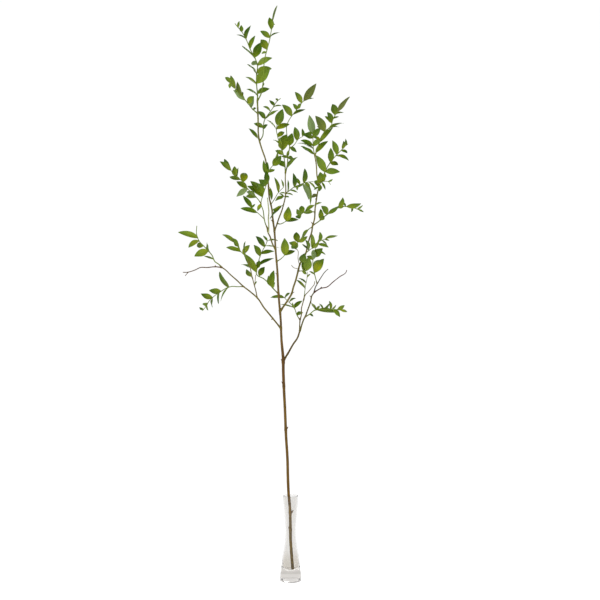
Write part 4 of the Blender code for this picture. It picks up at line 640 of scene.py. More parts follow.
# The finer glass.
VASE_TURN = 128
PROFILE_STEP = 0.0015
LIP_RADIUS, LIP_STEPS = 0.0009, 8
LIP_TAPER = 0.030  # the wall thins over this height towards the lip
FOOT_PROFILE = [  # radius, height
    (0.002, 0.0006), (0.012, 0.0008), (0.0205, 0.0006), (0.0222, 0.0), (0.0231, 0.0003), (0.0235, 0.0010),
    (0.0236, 0.0022),
]
BOWL_HEIGHT, BOWL_SPREAD, BOWL_STEPS = 0.010, 0.006, 7  # the turn from the wall onto the floor inside
FLOOR_DIPS = [(0.008, 0.0002), (0.002, 0.0003)]  # radius, and how far the floor's middle lies below its edge
RIPPLE, RIPPLE_PITCH = 0.00045, 0.0056  # rings left in the thick lower wall
RIPPLE_TOP, RIPPLE_FADE = 0.062, 0.02

# Bark and twig colours by height v, from the tip down, as screen colours.
BRANCH_OLIVE, OLIVE_SHARE = (108, 112, 40), 0.38
BRANCH_TONES = {  # tone, and its share over the tone at that height
    "s1_pale": ((176, 182, 132), 0.9), "bare_right": ((84, 52, 40), 0.9), "bare_middle": ((66, 66, 44), 0.9),
    "a_bare": ((90, 68, 44), 0.9), "a_bare_fork": ((90, 68, 44), 0.9), "e_right": ((88, 90, 40), 0.7),
    "e": ((84, 74, 26), 0.7), "e_left": ((104, 100, 60), 0.7),
}
BARK_TONES = [
    (101, (104, 110, 44)), (150, (112, 104, 44)), (250, (108, 90, 42)), (330, (100, 78, 34)),
    (358, (92, 64, 24)), (380, (92, 62, 18)), (400, (102, 76, 24)), (470, (106, 78, 30)),
    (492, (104, 74, 22)), (520, (112, 92, 52)), (545, (104, 84, 34)), (569, (96, 78, 30)),
]
TWIG_TONE, BUD_TONE = (104, 124, 36), (92, 66, 44)
TWIG_GREENING = 0.012  # the length over which a twig turns from its parent's colour to its own
BARK_PORES, TWIG_PORES = (150, 132, 100), (140, 142, 96)

# What the solids leave out: buds as in BUDS, and leaves straight on the wood, by branch.
SMALL_BUDS = [
    ("e_right", (311.4, 297.5), (309.6, 295.4), 0.0009),
    ("d", (312.9, 224.5), (310.8, 221.5), 0.0009),
    ("d", (316.6, 199.5), (315.2, 198.6), 0.0015),
    ("bare_right", (320.5, 288.5), (321.8, 286.6), 0.0011),
    ("a_bare", (215.5, 266.8), (215.2, 265.0), 0.0010),
    ("a", (272.8, 318.4), (271.1, 320.1), 0.0010),
]
WOOD_LEAVES = [
    ("d", (317.0, 194.2, 311.8, 197.8, 3.2, .9)), ("d", (316.8, 186.6, 314.0, 181.7, 2.0, .9)),
    ("d", (316.8, 186.7, 313.7, 190.0, 1.6, .9)), ("d_thin", (297.0, 249.5, 292.5, 246.4, 1.4, .8)),
    ("s2", (285.4, 194.0, 293.3, 195.0, 1.2, .6)), ("s2", (285.4, 193.5, 279.3, 193.2, 1.1, .6)),
    ("s2", (285.3, 196.6, 289.2, 197.3, 1.5, .8)), ("a_up_twig", (254.5, 285.0, 257.0, 281.0, 1.2, .8)),
]
WOOD_TONES = {0: (0.5, 0.3, 0.7), 1: (0.4, 0.1, 0.1)}

# How light, how yellow and how brown a leaf is, for those that stand out, by spray and place in its list.
SET_TONES = {
    "leader_left": {3: (0.85, 0.12, 0.0), 5: (0.9, 0.3, 0.0), 9: (0.1, 0.1, 0.0), 11: (0.1, 0.0, 0.0)},
    "leader_right": {3: (0.3, 0.45, 0.1), 6: (0.6, 0.2, 0.0), 8: (0.3, 0.0, 0.3)},
    "upper_left": {2: (0.7, 0.5, 0.0), 4: (0.5, 0.2, 0.35), 7: (0.5, 0.3, 0.15)},
    "d_end_left": {0: (0.35, 0.0, 0.0), 1: (0.5, 0.0, 0.0), 2: (0.35, 0.0, 0.0), 5: (0.35, 0.1, 0.0)},
    "centre_left": {2: (0.6, 0.55, 0.08), 5: (0.6, 0.55, 0.0), 7: (0.65, 0.6, 0.0), 8: (0.1, 0.1, 0.0)},
    "centre_right": {4: (0.15, 0.6, 0.0), 5: (0.45, 0.3, 0.0), 6: (0.6, 0.3, 0.1), 12: (0.6, 0.1, 0.55)},
    "centre_side": {0: (0.55, 0.2, 0.0)},
    "d_end_right": {1: (0.7, 0.35, 0.0), 2: (0.05, 0.3, 0.35), 8: (0.0, 0.1, 0.1), 12: (0.9, 0.0, 0.6)},
    "far_right": {0: (1.0, 0.1, 0.0), 1: (0.8, 0.0, 0.0), 3: (0.55, 0.15, 0.0), 5: (0.9, 0.0, 0.0)},
    "far_right_low": {0: (0.45, 0.45, 0.0)},
    "arched": {2: (0.1, 0.0, 0.0), 4: (0.15, 0.1, 0.0), 10: (1.0, 0.3, 0.0)},
    "left_shoot": {3: (0.5, 0.8, 0.0), 4: (0.8, 0.15, 0.0), 5: (0.6, 0.1, 0.2), 6: (0.7, 0.5, 0.0)},
    "s1_spray": {0: (0.8, 1.0, 0.0), 1: (0.6, 0.45, 0.0), 2: (0.5, 0.3, 0.0), 3: (0.45, 0.2, 0.0),
        4: (0.3, 0.0, 0.0)},
    "d_right": {0: (0.4, 0.7, 0.0), 4: (0.55, 0.4, 0.0), 7: (0.6, 0.45, 0.0)},
    "s2_leaf": {0: (0.6, 0.8, 0.0), 1: (0.25, 0.1, 0.0)},
    "main_right": {0: (0.75, 0.6, 0.0), 1: (0.3, 0.3, 0.0)},
    "d_low_left": {1: (0.2, 0.35, 0.1)},
    "d_cluster": {2: (1.0, 0.2, 0.0)},
    "middle_spray": {1: (0.35, 1.0, 0.0), 5: (0.15, 0.25, 0.0)},
    "right_spray": {2: (0.45, 0.25, 0.0), 9: (0.9, 0.9, 0.0)},
    "back_left": {0: (0.35, 0.2, 0.0), 4: (0.7, 0.35, 0.0)},
    "a_end": {0: (0.8, 0.55, 0.0), 3: (0.7, 0.8, 0.0), 4: (0.9, 0.25, 0.0)},
    "a_left": {0: (0.2, 0.1, 0.0), 2: (0.2, 0.4, 0.0), 4: (0.15, 0.45, 0.0)},
    "a_up_spray": {0: (0.9, 0.2, 0.0), 2: (1.0, 0.3, 0.0), 3: (0.8, 1.0, 0.0)},
}

# The draws' seeds. Each spray's shapes have a seed of their own, so they don't change another spray's.
BRANCH_SEED, SMALL_LEAF_SEED, SPRAY_SEED, WOOD_LEAF_SEED = 7, 19, 100, 200


class Leaf:
    """One leaf's midrib curve, its upper normal and its full width."""

    def __init__(self, root, bend, tip, normal, width):
        self.root, self.bend, self.tip, self.normal, self.width = root, bend, tip, normal, width
        self.tone = None


def linear(tone):
    """A screen colour, 0 to 255, as the light it stands for."""
    shares = [channel / 255 for channel in tone]
    return tuple(s / 12.92 if s < 0.04045 else ((s + 0.055) / 1.055) ** 2.4 for s in shares)


def blended(first, second, share):
    return tuple(a + (b - a) * share for a, b in zip(first, second))


def tone_at(v):
    """The bark's colour at this height in the picture."""
    if v <= BARK_TONES[0][0]:
        return BARK_TONES[0][1]
    for (top, at_top), (foot, at_foot) in zip(BARK_TONES, BARK_TONES[1:]):
        if v <= foot:
            return blended(at_top, at_foot, (v - top) / (foot - top))
    return BARK_TONES[-1][1]


class Form:
    """A mesh in the making. Each point has a place on its own part and a colour."""

    def __init__(self):
        self.points, self.faces, self.places, self.tones = [], [], [], []

    def add(self, points, faces, places, tones):
        first = len(self.points)
        self.points += points
        self.faces += [tuple(first + i for i in face) for face in faces]
        self.places += places
        self.tones += tones

    def made(self, name, look):
        mesh = bpy.data.meshes.new(name)
        mesh.from_pydata([tuple(point) for point in self.points], [], self.faces)
        place = mesh.attributes.new("place", "FLOAT_VECTOR", "POINT")
        place.data.foreach_set("vector", [value for row in self.places for value in row])
        tone = mesh.attributes.new("tone", "FLOAT_COLOR", "POINT")
        tone.data.foreach_set("color", [value for row in self.tones for value in (*row, 1.0)])
        mesh.shade_smooth()
        mesh.set_sharp_from_angle(angle=math.radians(70))
        mesh.materials.append(look)
        piece = bpy.data.objects.new(name, mesh)
        bpy.context.scene.collection.objects.link(piece)
        return piece


def smoothed(points, values, step):
    """Points and values on a smooth curve through these points, about this far apart."""
    gaps = [max(1e-6, (b - a).length) for a, b in zip(points, points[1:])]
    slopes = [(b - a) / gap for a, b, gap in zip(points, points[1:], gaps)]
    tangents = [slopes[0]]
    for i in range(1, len(points) - 1):
        before, after = gaps[i - 1], gaps[i]
        tangents.append((slopes[i - 1] * after + slopes[i] * before) / (before + after))
    tangents.append(slopes[-1])
    line, carried = [], []
    for i, gap in enumerate(gaps):
        count = max(2, math.ceil(gap / step))
        for j in range(count):
            s = j / count
            rise, fall = s * s * (3 - 2 * s), 1 - s * s * (3 - 2 * s)
            into = s * (1 - s) * (1 - s) * gap
            out = -s * s * (1 - s) * gap
            line.append(points[i] * fall + points[i + 1] * rise + tangents[i] * into + tangents[i + 1] * out)
            carried.append(values[i] + (values[i + 1] - values[i]) * s)
    return line + [points[-1]], carried + [values[-1]]


def along_line(line):
    """The length of the line up to each of its points."""
    lengths = [0.0]
    for first, second in zip(line, line[1:]):
        lengths.append(lengths[-1] + (second - first).length)
    return lengths


def ring_faces(rings, sides):
    """The faces of a closed form whose points are rings of this many sides, one after the other."""
    faces = []
    for i in range(rings - 1):
        for k in range(sides):
            a, b = i * sides + k, i * sides + (k + 1) % sides
            faces.append((a, b, b + sides, a + sides))
    faces.append(tuple(reversed(range(sides))))
    faces.append(tuple((rings - 1) * sides + k for k in range(sides)))
    return faces


def woody_tube(form, line, radii, tones, sides, rough, seed, end=1.0):
    """A round stem through the line, closed by a small dome at its end, with a slightly uneven surface."""
    side = None
    rows = []
    for i, (point, radius, tone, length) in enumerate(zip(line, radii, tones, along_line(line))):
        before, after = line[max(0, i - 1)], line[min(len(line) - 1, i + 1)]
        direction = (after - before).normalized()
        if side is None:
            side, _ = ring_axes(direction)
        else:
            side = (side - direction * side.dot(direction)).normalized()
        rows.append((point, radius, tone, length, direction, side))
    point, radius, tone, length, direction, side = rows[-1]
    for angle in DOME_ANGLES:
        turn = math.radians(angle)
        rise = end * radius * math.sin(turn)
        rows.append((point + direction * rise, radius * math.cos(turn), tone, length + rise, direction, side))
    points, places, colours = [], [], []
    for point, radius, tone, length, direction, side in rows:
        other = direction.cross(side)
        for k in range(sides):
            angle = 2 * math.pi * k / sides
            right, up = math.cos(angle), math.sin(angle)
            bump = noise.noise(Vector((right * ROUGH_ROUND + seed, up * ROUGH_ROUND, length * ROUGH_ALONG)))
            points.append(point + (right * side + up * other) * radius * (1 + rough * bump))
            places.append((right, up, length))
            colours.append(linear(tone))
    form.add(points, ring_faces(len(rows), sides), places, colours)


def swollen(line, radii, nodes, swell, reach):
    """The radii with a soft swelling near each node."""
    out = []
    for point, radius in zip(line, radii):
        grown = sum(math.exp(-((point - node).length / reach) ** 2) for node in nodes)
        out.append(radius * (1 + swell * min(1.0, grown)))
    return out


def leaf_width(share):
    """A leaf's width at a share of its length, over its full width."""
    arch = max(0.0, math.sin(math.pi * share ** LEAF_WIDEST)) ** LEAF_FULLNESS
    return arch * (1 - LEAF_NARROWING * share ** 3)


def leaf_faces():
    """The faces of a leaf, whose points are its stations from the stalk on, upper side before lower side."""
    columns = len(LEAF_COLUMNS)
    ring = 2 * columns
    faces = []
    for i in range(LEAF_STATIONS - 1):
        a = i * ring
        for k in range(columns - 1):
            faces.append((a + k, a + k + 1, a + ring + k + 1, a + ring + k))
            b = a + columns
            faces.append((b + k + 1, b + k, b + ring + k, b + ring + k + 1))
        faces.append((a + columns - 1, a + ring - 1, a + 2 * ring - 1, a + ring + columns - 1))
        faces.append((a + columns, a, a + ring, a + ring + columns))
    outline = list(range(columns)) + [columns + k for k in reversed(range(columns))]
    faces.append(tuple(reversed(outline)))
    faces.append(tuple((LEAF_STATIONS - 1) * ring + k for k in outline))
    return faces


def add_leaf(form, leaf, draw):
    """One leaf: a thin closed blade, folded a little along its midrib, waved and twisted."""
    fold, wave = draw.uniform(*LEAF_FOLD), draw.uniform(*LEAF_WAVE)
    waves, phase = draw.uniform(*LEAF_WAVES), draw.uniform(0, 2 * math.pi)
    twist = math.radians(draw.uniform(-LEAF_TWIST, LEAF_TWIST))
    lean = draw.uniform(-LEAF_LEAN, LEAF_LEAN)
    droop = draw.uniform(*LEAF_DROOP)
    tone = leaf.tone or (draw.random(), MOST_YELLOW * draw.random() ** 2, 0.0)
    length = (leaf.tip - leaf.root).length
    points, places = [], []
    for i in range(LEAF_STATIONS):
        share = 0.5 - 0.5 * math.cos(math.pi * i / (LEAF_STATIONS - 1))
        middle = bezier(leaf.root, leaf.bend, leaf.tip, share)
        along = ((leaf.bend - leaf.root) * (1 - share) + (leaf.tip - leaf.bend) * share).normalized()
        across = along.cross(leaf.normal).normalized()
        up = across.cross(along)
        turn = twist * (share - TWIST_REST)
        across, up = (
            across * math.cos(turn) + up * math.sin(turn),
            up * math.cos(turn) - across * math.sin(turn),
        )
        middle = middle + up * length * droop * (math.sin(math.pi * share) - TIP_DROOP * share ** 3)
        stalk = STALK_WIDTH * STALK_HALF * (1 - share) + TIP_HALF
        half = max(stalk, leaf.width * leaf_width(share) / 2)
        blade_share = min(1.0, half / (leaf.width / 2) * FOLD_GROWTH)
        top, low = [], []
        for k in LEAF_COLUMNS:
            spread = across * half * (k + lean * (1 - k * k))
            lag = EDGE_LAG if k > 0 else 0
            rise = fold * half * abs(k) * blade_share
            rise += wave * leaf.width * math.sin(2 * math.pi * waves * share + phase + lag) * k * k
            rise -= GROOVE_DEPTH * math.exp(-(k / GROOVE_WIDTH) ** 2) * blade_share
            thick = MARGIN_THICK + (LEAF_THICK - MARGIN_THICK) * (1 - k * k)
            stalk_share = max(0.0, 1 - share / STALK_END)
            thick += (STALK_THICK - thick) * stalk_share * (1 - STALK_ROUNDING * k * k)
            surface = middle + spread + up * rise
            top.append(surface + up * thick / 2)
            low.append(surface - up * thick / 2)
        points += top + low
        places += [(share, k, side) for side in (1.0, 0.0) for k in LEAF_COLUMNS]
    form.add(points, leaf_faces(), places, [tone] * len(points))


def grow_leaf(name, route, leaf, away, placed, draw):
    """One leaf and its plain solid blade, swung in depth until it clears every other spray."""
    base_u, base_v, tip_u, tip_v, seen_width, seen = leaf
    (u, v, depth, _), twig = nearest(route, base_u, base_v)
    start = spot(u, v, depth)
    width = seen_width * UNIT * BLADE_FULLNESS / abs(seen)
    seen_length = math.dist((u, v), (tip_u, tip_v)) * UNIT
    true_length = max(seen_length, width / BLADE_SLENDER)
    outline = next(rows for least, rows in OUTLINES if true_length >= least)
    best = None
    for swing in leaf_swings(seen_length, true_length, away, draw):
        end = spot(tip_u, tip_v, depth + swing)
        direction = (end - start).normalized()
        bend = start + (direction + LEAF_ARCH * twig).normalized() * (end - start).length / 2
        normal = facing(direction, twig, start, seen)
        wide = width + 2 * CLEARANCE
        test = blade(start, bend, end, normal, wide, outline, 2 * CLEARANCE, LEAF_ROOT_SHARE)
        met = placed.met(test)
        if met <= {name} and (best is None or not met):
            solid = blade(start, bend, end, normal, width, outline, BLADE_THICKNESS)
            best = Leaf(start, bend, end, normal, width), solid
        if not met:
            break
    return best


def is_small(leaf, route):
    """Whether the solids leave this leaf out."""
    base_u, base_v, tip_u, tip_v, seen_width, seen = leaf
    (u, v, _, _), _ = nearest(route, base_u, base_v)
    width = seen_width * UNIT * BLADE_FULLNESS / abs(seen)
    return max(math.dist((u, v), (tip_u, tip_v)) * UNIT, width / BLADE_SLENDER) < SMALLEST_LEAF


def grow_row(node, route, i, row, tone, placed, draw):
    """The leaf of a list's row i, set on its route, as a list of none or one."""
    grown = grow_leaf(node, route, row, 1 if i % 2 else -1, placed, draw)
    if not grown:
        return []
    leaf, solid = grown
    leaf.tone = tone
    placed.add(node, solid)
    return [leaf]


def grown_branch():
    """The routes by name, each with its parent, and the leaves of each spray, set as in the solids."""
    draw, small_draw = random.Random(BRANCH_SEED), random.Random(SMALL_LEAF_SEED)
    placed = Placed()
    routes, woody = woody_shapes()
    for shape in woody:
        placed.add("woody_stem", shape)
    owner = dict.fromkeys(routes, "woody_stem")
    for name, parent, end_depth, radius, points, _ in SPRAYS:
        route = routed(routes[parent], points, end_depth, radius, radius * TWIG_TIP)
        (_, _, _, parent_radius), _ = nearest(routes[parent], *route[0][:2])
        stub, twig = stub_and_twig(route, parent_radius, radius)
        placed.add(owner[parent], stub)
        placed.add(name, twig)
        routes[name] = route
        owner[name] = name
    leaves = {name: [] for name, *_ in SPRAYS}
    for small, size_draw in ((False, draw), (True, small_draw)):
        for name, *_, rows in SPRAYS:
            tones = SET_TONES.get(name, {})
            for i, row in enumerate(rows):
                if is_small(row, routes[name]) == small:
                    leaves[name] += grow_row(name, routes[name], i, row, tones.get(i), placed, size_draw)
    leaves["on_wood"] = []
    for i, (name, row) in enumerate(WOOD_LEAVES):
        tone = WOOD_TONES.get(i)
        leaves["on_wood"] += grow_row("woody_stem", routes[name], i, row, tone, placed, small_draw)
    return routes, leaves


class Nodes:
    """A node tree, and short ways to build in it."""

    def __init__(self, tree):
        self.tree = tree

    def put(self, socket, value):
        if isinstance(value, bpy.types.NodeSocket):
            self.tree.links.new(value, socket)
        else:
            socket.default_value = value

    def fill(self, node, **inputs):
        for name, value in inputs.items():
            self.put(node.inputs[name.replace("_", " ")], value)
        return node

    def node(self, kind, **inputs):
        return self.fill(self.tree.nodes.new("ShaderNode" + kind), **inputs)

    def maths(self, operation, first, second=0.0):
        made = self.node("Math")
        made.operation = operation
        self.put(made.inputs[0], first)
        self.put(made.inputs[1], second)
        return made.outputs[0]

    def scaled(self, value, low, high, to_low=0.0, to_high=1.0):
        """The value eased from to_low to to_high as it goes from low to high."""
        made = self.node("MapRange", From_Min=low, From_Max=high, To_Min=to_low, To_Max=to_high)
        made.interpolation_type = "SMOOTHSTEP"
        self.put(made.inputs["Value"], value)
        return made.outputs["Result"]

    def mixed(self, share, first, second, blend="MIX"):
        made = self.node("Mix")
        made.data_type = "RGBA"
        made.blend_type = blend
        self.put(made.inputs[0], share)
        for socket, value in ((made.inputs[6], first), (made.inputs[7], second)):
            self.put(socket, value if isinstance(value, bpy.types.NodeSocket) else (*linear(value), 1.0))
        return made.outputs[2]

    def shaded(self, body, shade):
        """The colour made darker or lighter by this factor."""
        tint = self.node("CombineColor", Red=shade, Green=shade, Blue=shade)
        return self.mixed(1.0, body, tint.outputs["Color"], "MULTIPLY")

    def noise(self, vector, scale, detail=3.0, roughness=0.55):
        made = self.node("TexNoise", Vector=vector, Scale=scale, Detail=detail, Roughness=roughness)
        return made.outputs["Fac"]

    def attribute(self, name):
        made = self.node("Attribute")
        made.attribute_name = name
        return made

    def parts_of(self, vector):
        return self.node("SeparateXYZ", Vector=vector).outputs

    def stretched(self, vector, scale):
        return self.node("Mapping", Vector=vector, Scale=scale).outputs["Vector"]

    def two_shaders(self, share, first, second, output):
        """Sends the first shader, with this share of the second, to the output."""
        both = self.node("MixShader", Fac=share)
        self.put(both.inputs[1], first.outputs[0])
        self.put(both.inputs[2], second.outputs[0])
        self.put(output.inputs["Surface"], both.outputs["Shader"])


class Look(Nodes):
    """A material around one Principled shader."""

    def __init__(self, name):
        self.material = bpy.data.materials.new(name)
        self.material.use_nodes = True
        super().__init__(self.material.node_tree)
        self.shader = self.tree.nodes["Principled BSDF"]
        self.output = self.tree.nodes["Material Output"]

    def bump(self, height, strength, distance):
        made = self.node("Bump", Height=height, Strength=strength, Distance=distance)
        self.put(self.shader.inputs["Normal"], made.outputs["Normal"])
        return made.outputs["Normal"]


LEAF_DARK, LEAF_MID, LEAF_LIGHT = (54, 92, 0), (90, 124, 6), (126, 153, 46)
LEAF_YELLOW, LEAF_BASE, LEAF_TIP = (176, 180, 2), (134, 150, 20), (128, 110, 56)
# The first of these is a painted highlight: the pale green laid along each blade's margins.
LEAF_EDGE_HIGHLIGHT, LEAF_RIB, LEAF_UNDER = (126, 150, 56), (128, 150, 52), (142, 164, 108)
LEAF_BROWN, LEAF_THROUGH = (106, 98, 64), (150, 182, 14)
PATCH_SCALE, MOTTLE_SCALE, GRAIN_SCALE = 30.0, 90.0, 900.0
VEIN_TURNS, VEIN_SHADE, VEIN_HEIGHT = 34.0, 0.03, 0.05
MOST_WARM, PALE_UNDER, THROUGH_SHARE = 0.85, 0.8, 0.55
LEAF_SHINE, UNDER_DULLNESS, LEAF_GLOW = 0.24, 0.2, 0.30
MOTTLE_HEIGHT, LEAF_BUMP, LEAF_BUMP_DEPTH = 0.6, 0.25, 0.0003


def leaf_look():
    """Satin blades, darker and lighter, with yellowish bases, fine lengthwise veins and paler undersides; the
    margins carry a painted highlight, and each blade's two halves are painted darker and lighter as shade
    across the fold.
    """
    look = Look("ruscus_leaf")
    share, across, upper = look.parts_of(look.attribute("place").outputs["Vector"])
    light, yellow, brown = look.parts_of(look.attribute("tone").outputs["Vector"])
    where = look.node("TexCoord").outputs["Object"]
    patch, mottle = look.noise(where, PATCH_SCALE, 0.0), look.noise(where, MOTTLE_SCALE, 2.0)
    grain = look.noise(where, GRAIN_SCALE, 2.0)
    edge = look.maths("ABSOLUTE", across)
    veins = look.maths("SINE", look.maths("MULTIPLY", across, VEIN_TURNS))
    warm = look.maths("MULTIPLY", yellow, look.scaled(share, 0.25, 0.85, 1.0, 0.15))
    dry = look.maths("MULTIPLY", look.scaled(share, 0.93, 1.0), look.scaled(mottle, 0.4, 0.6))
    body = LEAF_DARK
    for amount, tone in (
        (look.scaled(light, 0.0, 0.55), LEAF_MID),
        (look.scaled(light, 0.5, 1.0), LEAF_LIGHT),
        (look.maths("MULTIPLY", warm, MOST_WARM), LEAF_YELLOW),
        (look.scaled(patch, 0.40, 0.70, 0.0, 0.30), LEAF_LIGHT),
        (look.scaled(share, 0.45, 0.95, 0.0, 0.30), LEAF_DARK),
        (look.scaled(share, 0.0, 0.5, 0.6, 0.0), LEAF_BASE),
        # Painted highlight: the margins are paled.
        (look.scaled(edge, 0.86, 1.0, 0.0, 0.5), LEAF_EDGE_HIGHLIGHT),
        (look.scaled(edge, 0.0, 0.11, 0.5, 0.0), LEAF_RIB),
        (dry, LEAF_TIP),
    ):
        body = look.mixed(amount, body, tone)
    body = look.mixed(upper, look.mixed(PALE_UNDER, body, LEAF_UNDER), body)
    body = look.mixed(brown, body, LEAF_BROWN)
    vein_grain_and_fold_shade = look.maths(
        "ADD", look.maths("MULTIPLY", veins, VEIN_SHADE), look.scaled(grain, 0.3, 0.7, 0.98, 1.02)
    )
    # Painted shade across the fold: one half of each blade is darkened and the other lightened, from the
    # midrib out.
    vein_grain_and_fold_shade = look.maths("MULTIPLY", vein_grain_and_fold_shade, look.scaled(across, -0.15, 0.15, 0.90, 1.06))
    body = look.shaded(body, vein_grain_and_fold_shade)
    dull = look.scaled(mottle, 0.3, 0.7, 0.56, 0.68)
    gloss = look.maths("SUBTRACT", dull, look.maths("MULTIPLY", upper, UNDER_DULLNESS))
    look.fill(look.shader, Base_Color=body, Roughness=gloss, Specular_IOR_Level=LEAF_SHINE)
    height = look.maths(
        "ADD", look.maths("MULTIPLY", veins, VEIN_HEIGHT), look.maths("MULTIPLY", mottle, MOTTLE_HEIGHT)
    )
    normal = look.bump(height, LEAF_BUMP, LEAF_BUMP_DEPTH)
    through = look.mixed(THROUGH_SHARE, body, LEAF_THROUGH)
    glow = look.node("BsdfTranslucent", Color=through, Normal=normal)
    look.two_shaders(LEAF_GLOW, look.shader, glow, look.output)
    return look.material


STREAK_STRETCH, STREAK_SCALE = (1.6, 1.6, 60.0), 2.4
PORE_STRETCH, PORE_SCALE = (2.2, 2.2, 420.0), 1.6
BARK_PATCH_SCALE = 70.0
BARK_SHINE, BARK_BUMP, BARK_BUMP_DEPTH = 0.2, 0.5, 0.0004


def bark_look(name, pale):
    """Bark in its own tone, with lengthwise streaks, small pale pores and a dull uneven surface."""
    look = Look(name)
    around = look.attribute("place").outputs["Vector"]
    tone = look.attribute("tone").outputs["Color"]
    where = look.node("TexCoord").outputs["Object"]
    streak = look.noise(look.stretched(around, STREAK_STRETCH), STREAK_SCALE, 4.0, 0.6)
    patch = look.noise(where, BARK_PATCH_SCALE, 3.0)
    cells = look.node("TexVoronoi", Vector=look.stretched(around, PORE_STRETCH), Scale=PORE_SCALE)
    pores = look.scaled(cells.outputs["Distance"], 0.05, 0.16, 0.5, 0.0)
    streaky, patchy = look.scaled(streak, 0.3, 0.7, 0.72, 1.28), look.scaled(patch, 0.3, 0.7, 0.82, 1.16)
    body = look.shaded(tone, look.maths("MULTIPLY", streaky, patchy))
    body = look.mixed(pores, body, pale)
    dull = look.scaled(streak, 0.3, 0.7, 0.6, 0.8)
    look.fill(look.shader, Base_Color=body, Roughness=dull, Specular_IOR_Level=BARK_SHINE)
    look.bump(look.maths("ADD", streak, pores), BARK_BUMP, BARK_BUMP_DEPTH)
    return look.material


GLASS_IOR = 1.33
# The second tone is painted shade: the grey laid on where the wall turns away from the eye, in place of the
# darker surroundings its edges reflect and refract.
GLASS_FOOT, GLASS_EDGE_SHADE = (230, 227, 224), (220, 217, 215)
# The glass's tone higher up: where it starts to turn, where it has turned, and the tone. The first row is
# painted shade: a dark band just above the foot, in place of the dark line the thick foot's refraction gives.
GLASS_TONES_AND_SHADE_BAND = [
    (0.007, 0.011, (184, 180, 175)), (0.017, 0.030, (224, 221, 216)), (0.040, 0.075, (234, 233, 231)),
]
EDGE_BLEND = 0.35
WAVE_STRETCH, WAVE_SCALE, WAVE_BUMP, WAVE_DEPTH = (1.0, 1.0, 0.10), 130.0, 0.12, 0.0006
GLASS_SHADOW = (0.93, 0.94, 0.94, 1.0)


def glass_look():
    """Clear glass, warmer in its thick foot, with faint lengthwise waves, and painted shade: greyer where the
    wall turns from the eye, and a dark band just above the foot.
    """
    look = Look("clear_glass")
    where = look.node("TexCoord").outputs["Object"]
    height = look.parts_of(where)[2]
    edge_shade_share = look.node("LayerWeight", Blend=EDGE_BLEND).outputs["Facing"]
    body = GLASS_FOOT
    # The tones by height; the lowest of them is a painted dark band of shade above the foot.
    for low, high, tone in GLASS_TONES_AND_SHADE_BAND:
        body = look.mixed(look.scaled(height, low, high), body, tone)
    # Painted shade: the wall is greyed as it turns away from the eye.
    body = look.mixed(look.scaled(edge_shade_share, 0.35, 1.0), body, GLASS_EDGE_SHADE)
    wave = look.noise(look.stretched(where, WAVE_STRETCH), WAVE_SCALE, 2.0)
    look.fill(look.shader, Base_Color=body, Roughness=look.scaled(wave, 0.3, 0.7, 0.0, 0.03))
    look.fill(look.shader, Transmission_Weight=1.0, IOR=GLASS_IOR)
    look.bump(wave, WAVE_BUMP, WAVE_DEPTH)
    clear = look.node("BsdfTransparent", Color=GLASS_SHADOW)
    shadow_ray = look.node("LightPath").outputs["Is Shadow Ray"]
    look.two_shaders(shadow_ray, look.shader, clear, look.output)
    return look.material


def turned(profile, sides):
    """Points and faces of a closed turned form, from its underside's middle up, over and down inside."""
    points = []
    for radius, height in profile:
        for k in range(sides):
            angle = 2 * math.pi * k / sides
            points.append(Vector((radius * math.cos(angle), radius * math.sin(angle), height)))
    return points, ring_faces(len(profile), sides)


def vase_profile():
    """The glass's outline: its foot, its outside, the rounded lip, its inside and the floor inside."""
    spots = [Vector((radius, height, 0)) for radius, height in VASE_OUTSIDE]
    outer, _ = smoothed(spots, [0.0] * len(spots), PROFILE_STEP)
    lip_middle, lip_height = VASE_OUTSIDE[-1][0] - LIP_RADIUS, VASE_HEIGHT - LIP_RADIUS
    profile = FOOT_PROFILE + [(p.x, p.y) for p in outer if FOOT_PROFILE[-1][1] < p.y < lip_height]
    for step in range(LIP_STEPS + 1):
        angle = math.pi * step / LIP_STEPS
        right, up = LIP_RADIUS * math.cos(angle), LIP_RADIUS * math.sin(angle)
        profile.append((lip_middle + right, lip_height + up))
    bowl_top = VASE_FLOOR + BOWL_HEIGHT
    for place in reversed(outer):
        if bowl_top < place.y < lip_height:
            fade = min(1.0, max(0.0, (RIPPLE_TOP - place.y) / RIPPLE_FADE))
            ripple = RIPPLE * fade * math.sin(2 * math.pi * place.y / RIPPLE_PITCH)
            near_lip = min(1.0, max(0.0, (place.y - lip_height + LIP_TAPER) / LIP_TAPER))
            wall = VASE_WALL + (2 * LIP_RADIUS - VASE_WALL) * near_lip
            profile.append((place.x - wall + ripple, place.y))
    wall_foot = profile[-1][0]
    reach = wall_foot - VASE_BOWL_RADIUS + BOWL_SPREAD
    for step in range(1, BOWL_STEPS + 1):
        angle = 0.5 * math.pi * step / BOWL_STEPS
        height = bowl_top - BOWL_HEIGHT * math.sin(angle)
        profile.append((wall_foot - reach * (1 - math.cos(angle)), height))
    return profile + [(radius, VASE_FLOOR - dip) for radius, dip in FLOOR_DIPS]


def build_vase():
    """The glass with a smooth wall, a rounded lip and a thick foot."""
    points, faces = turned(vase_profile(), VASE_TURN)
    form = Form()
    form.add(points, faces, [(0.0, 0.0, 0.0)] * len(points), [(1.0, 1.0, 1.0)] * len(points))
    vase = form.made("vase_glass", glass_look())
    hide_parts("glass_vase")
    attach(vase, "root")


def stem_line(route):
    """A smooth line along a route, with its radii and its heights in the picture."""
    places = [spot(*point[:3]) for point in route]
    line, radii = smoothed(places, [point[3] for point in route], STEM_STEP)
    _, heights = smoothed(places, [point[1] for point in route], STEM_STEP)
    return line, radii, heights


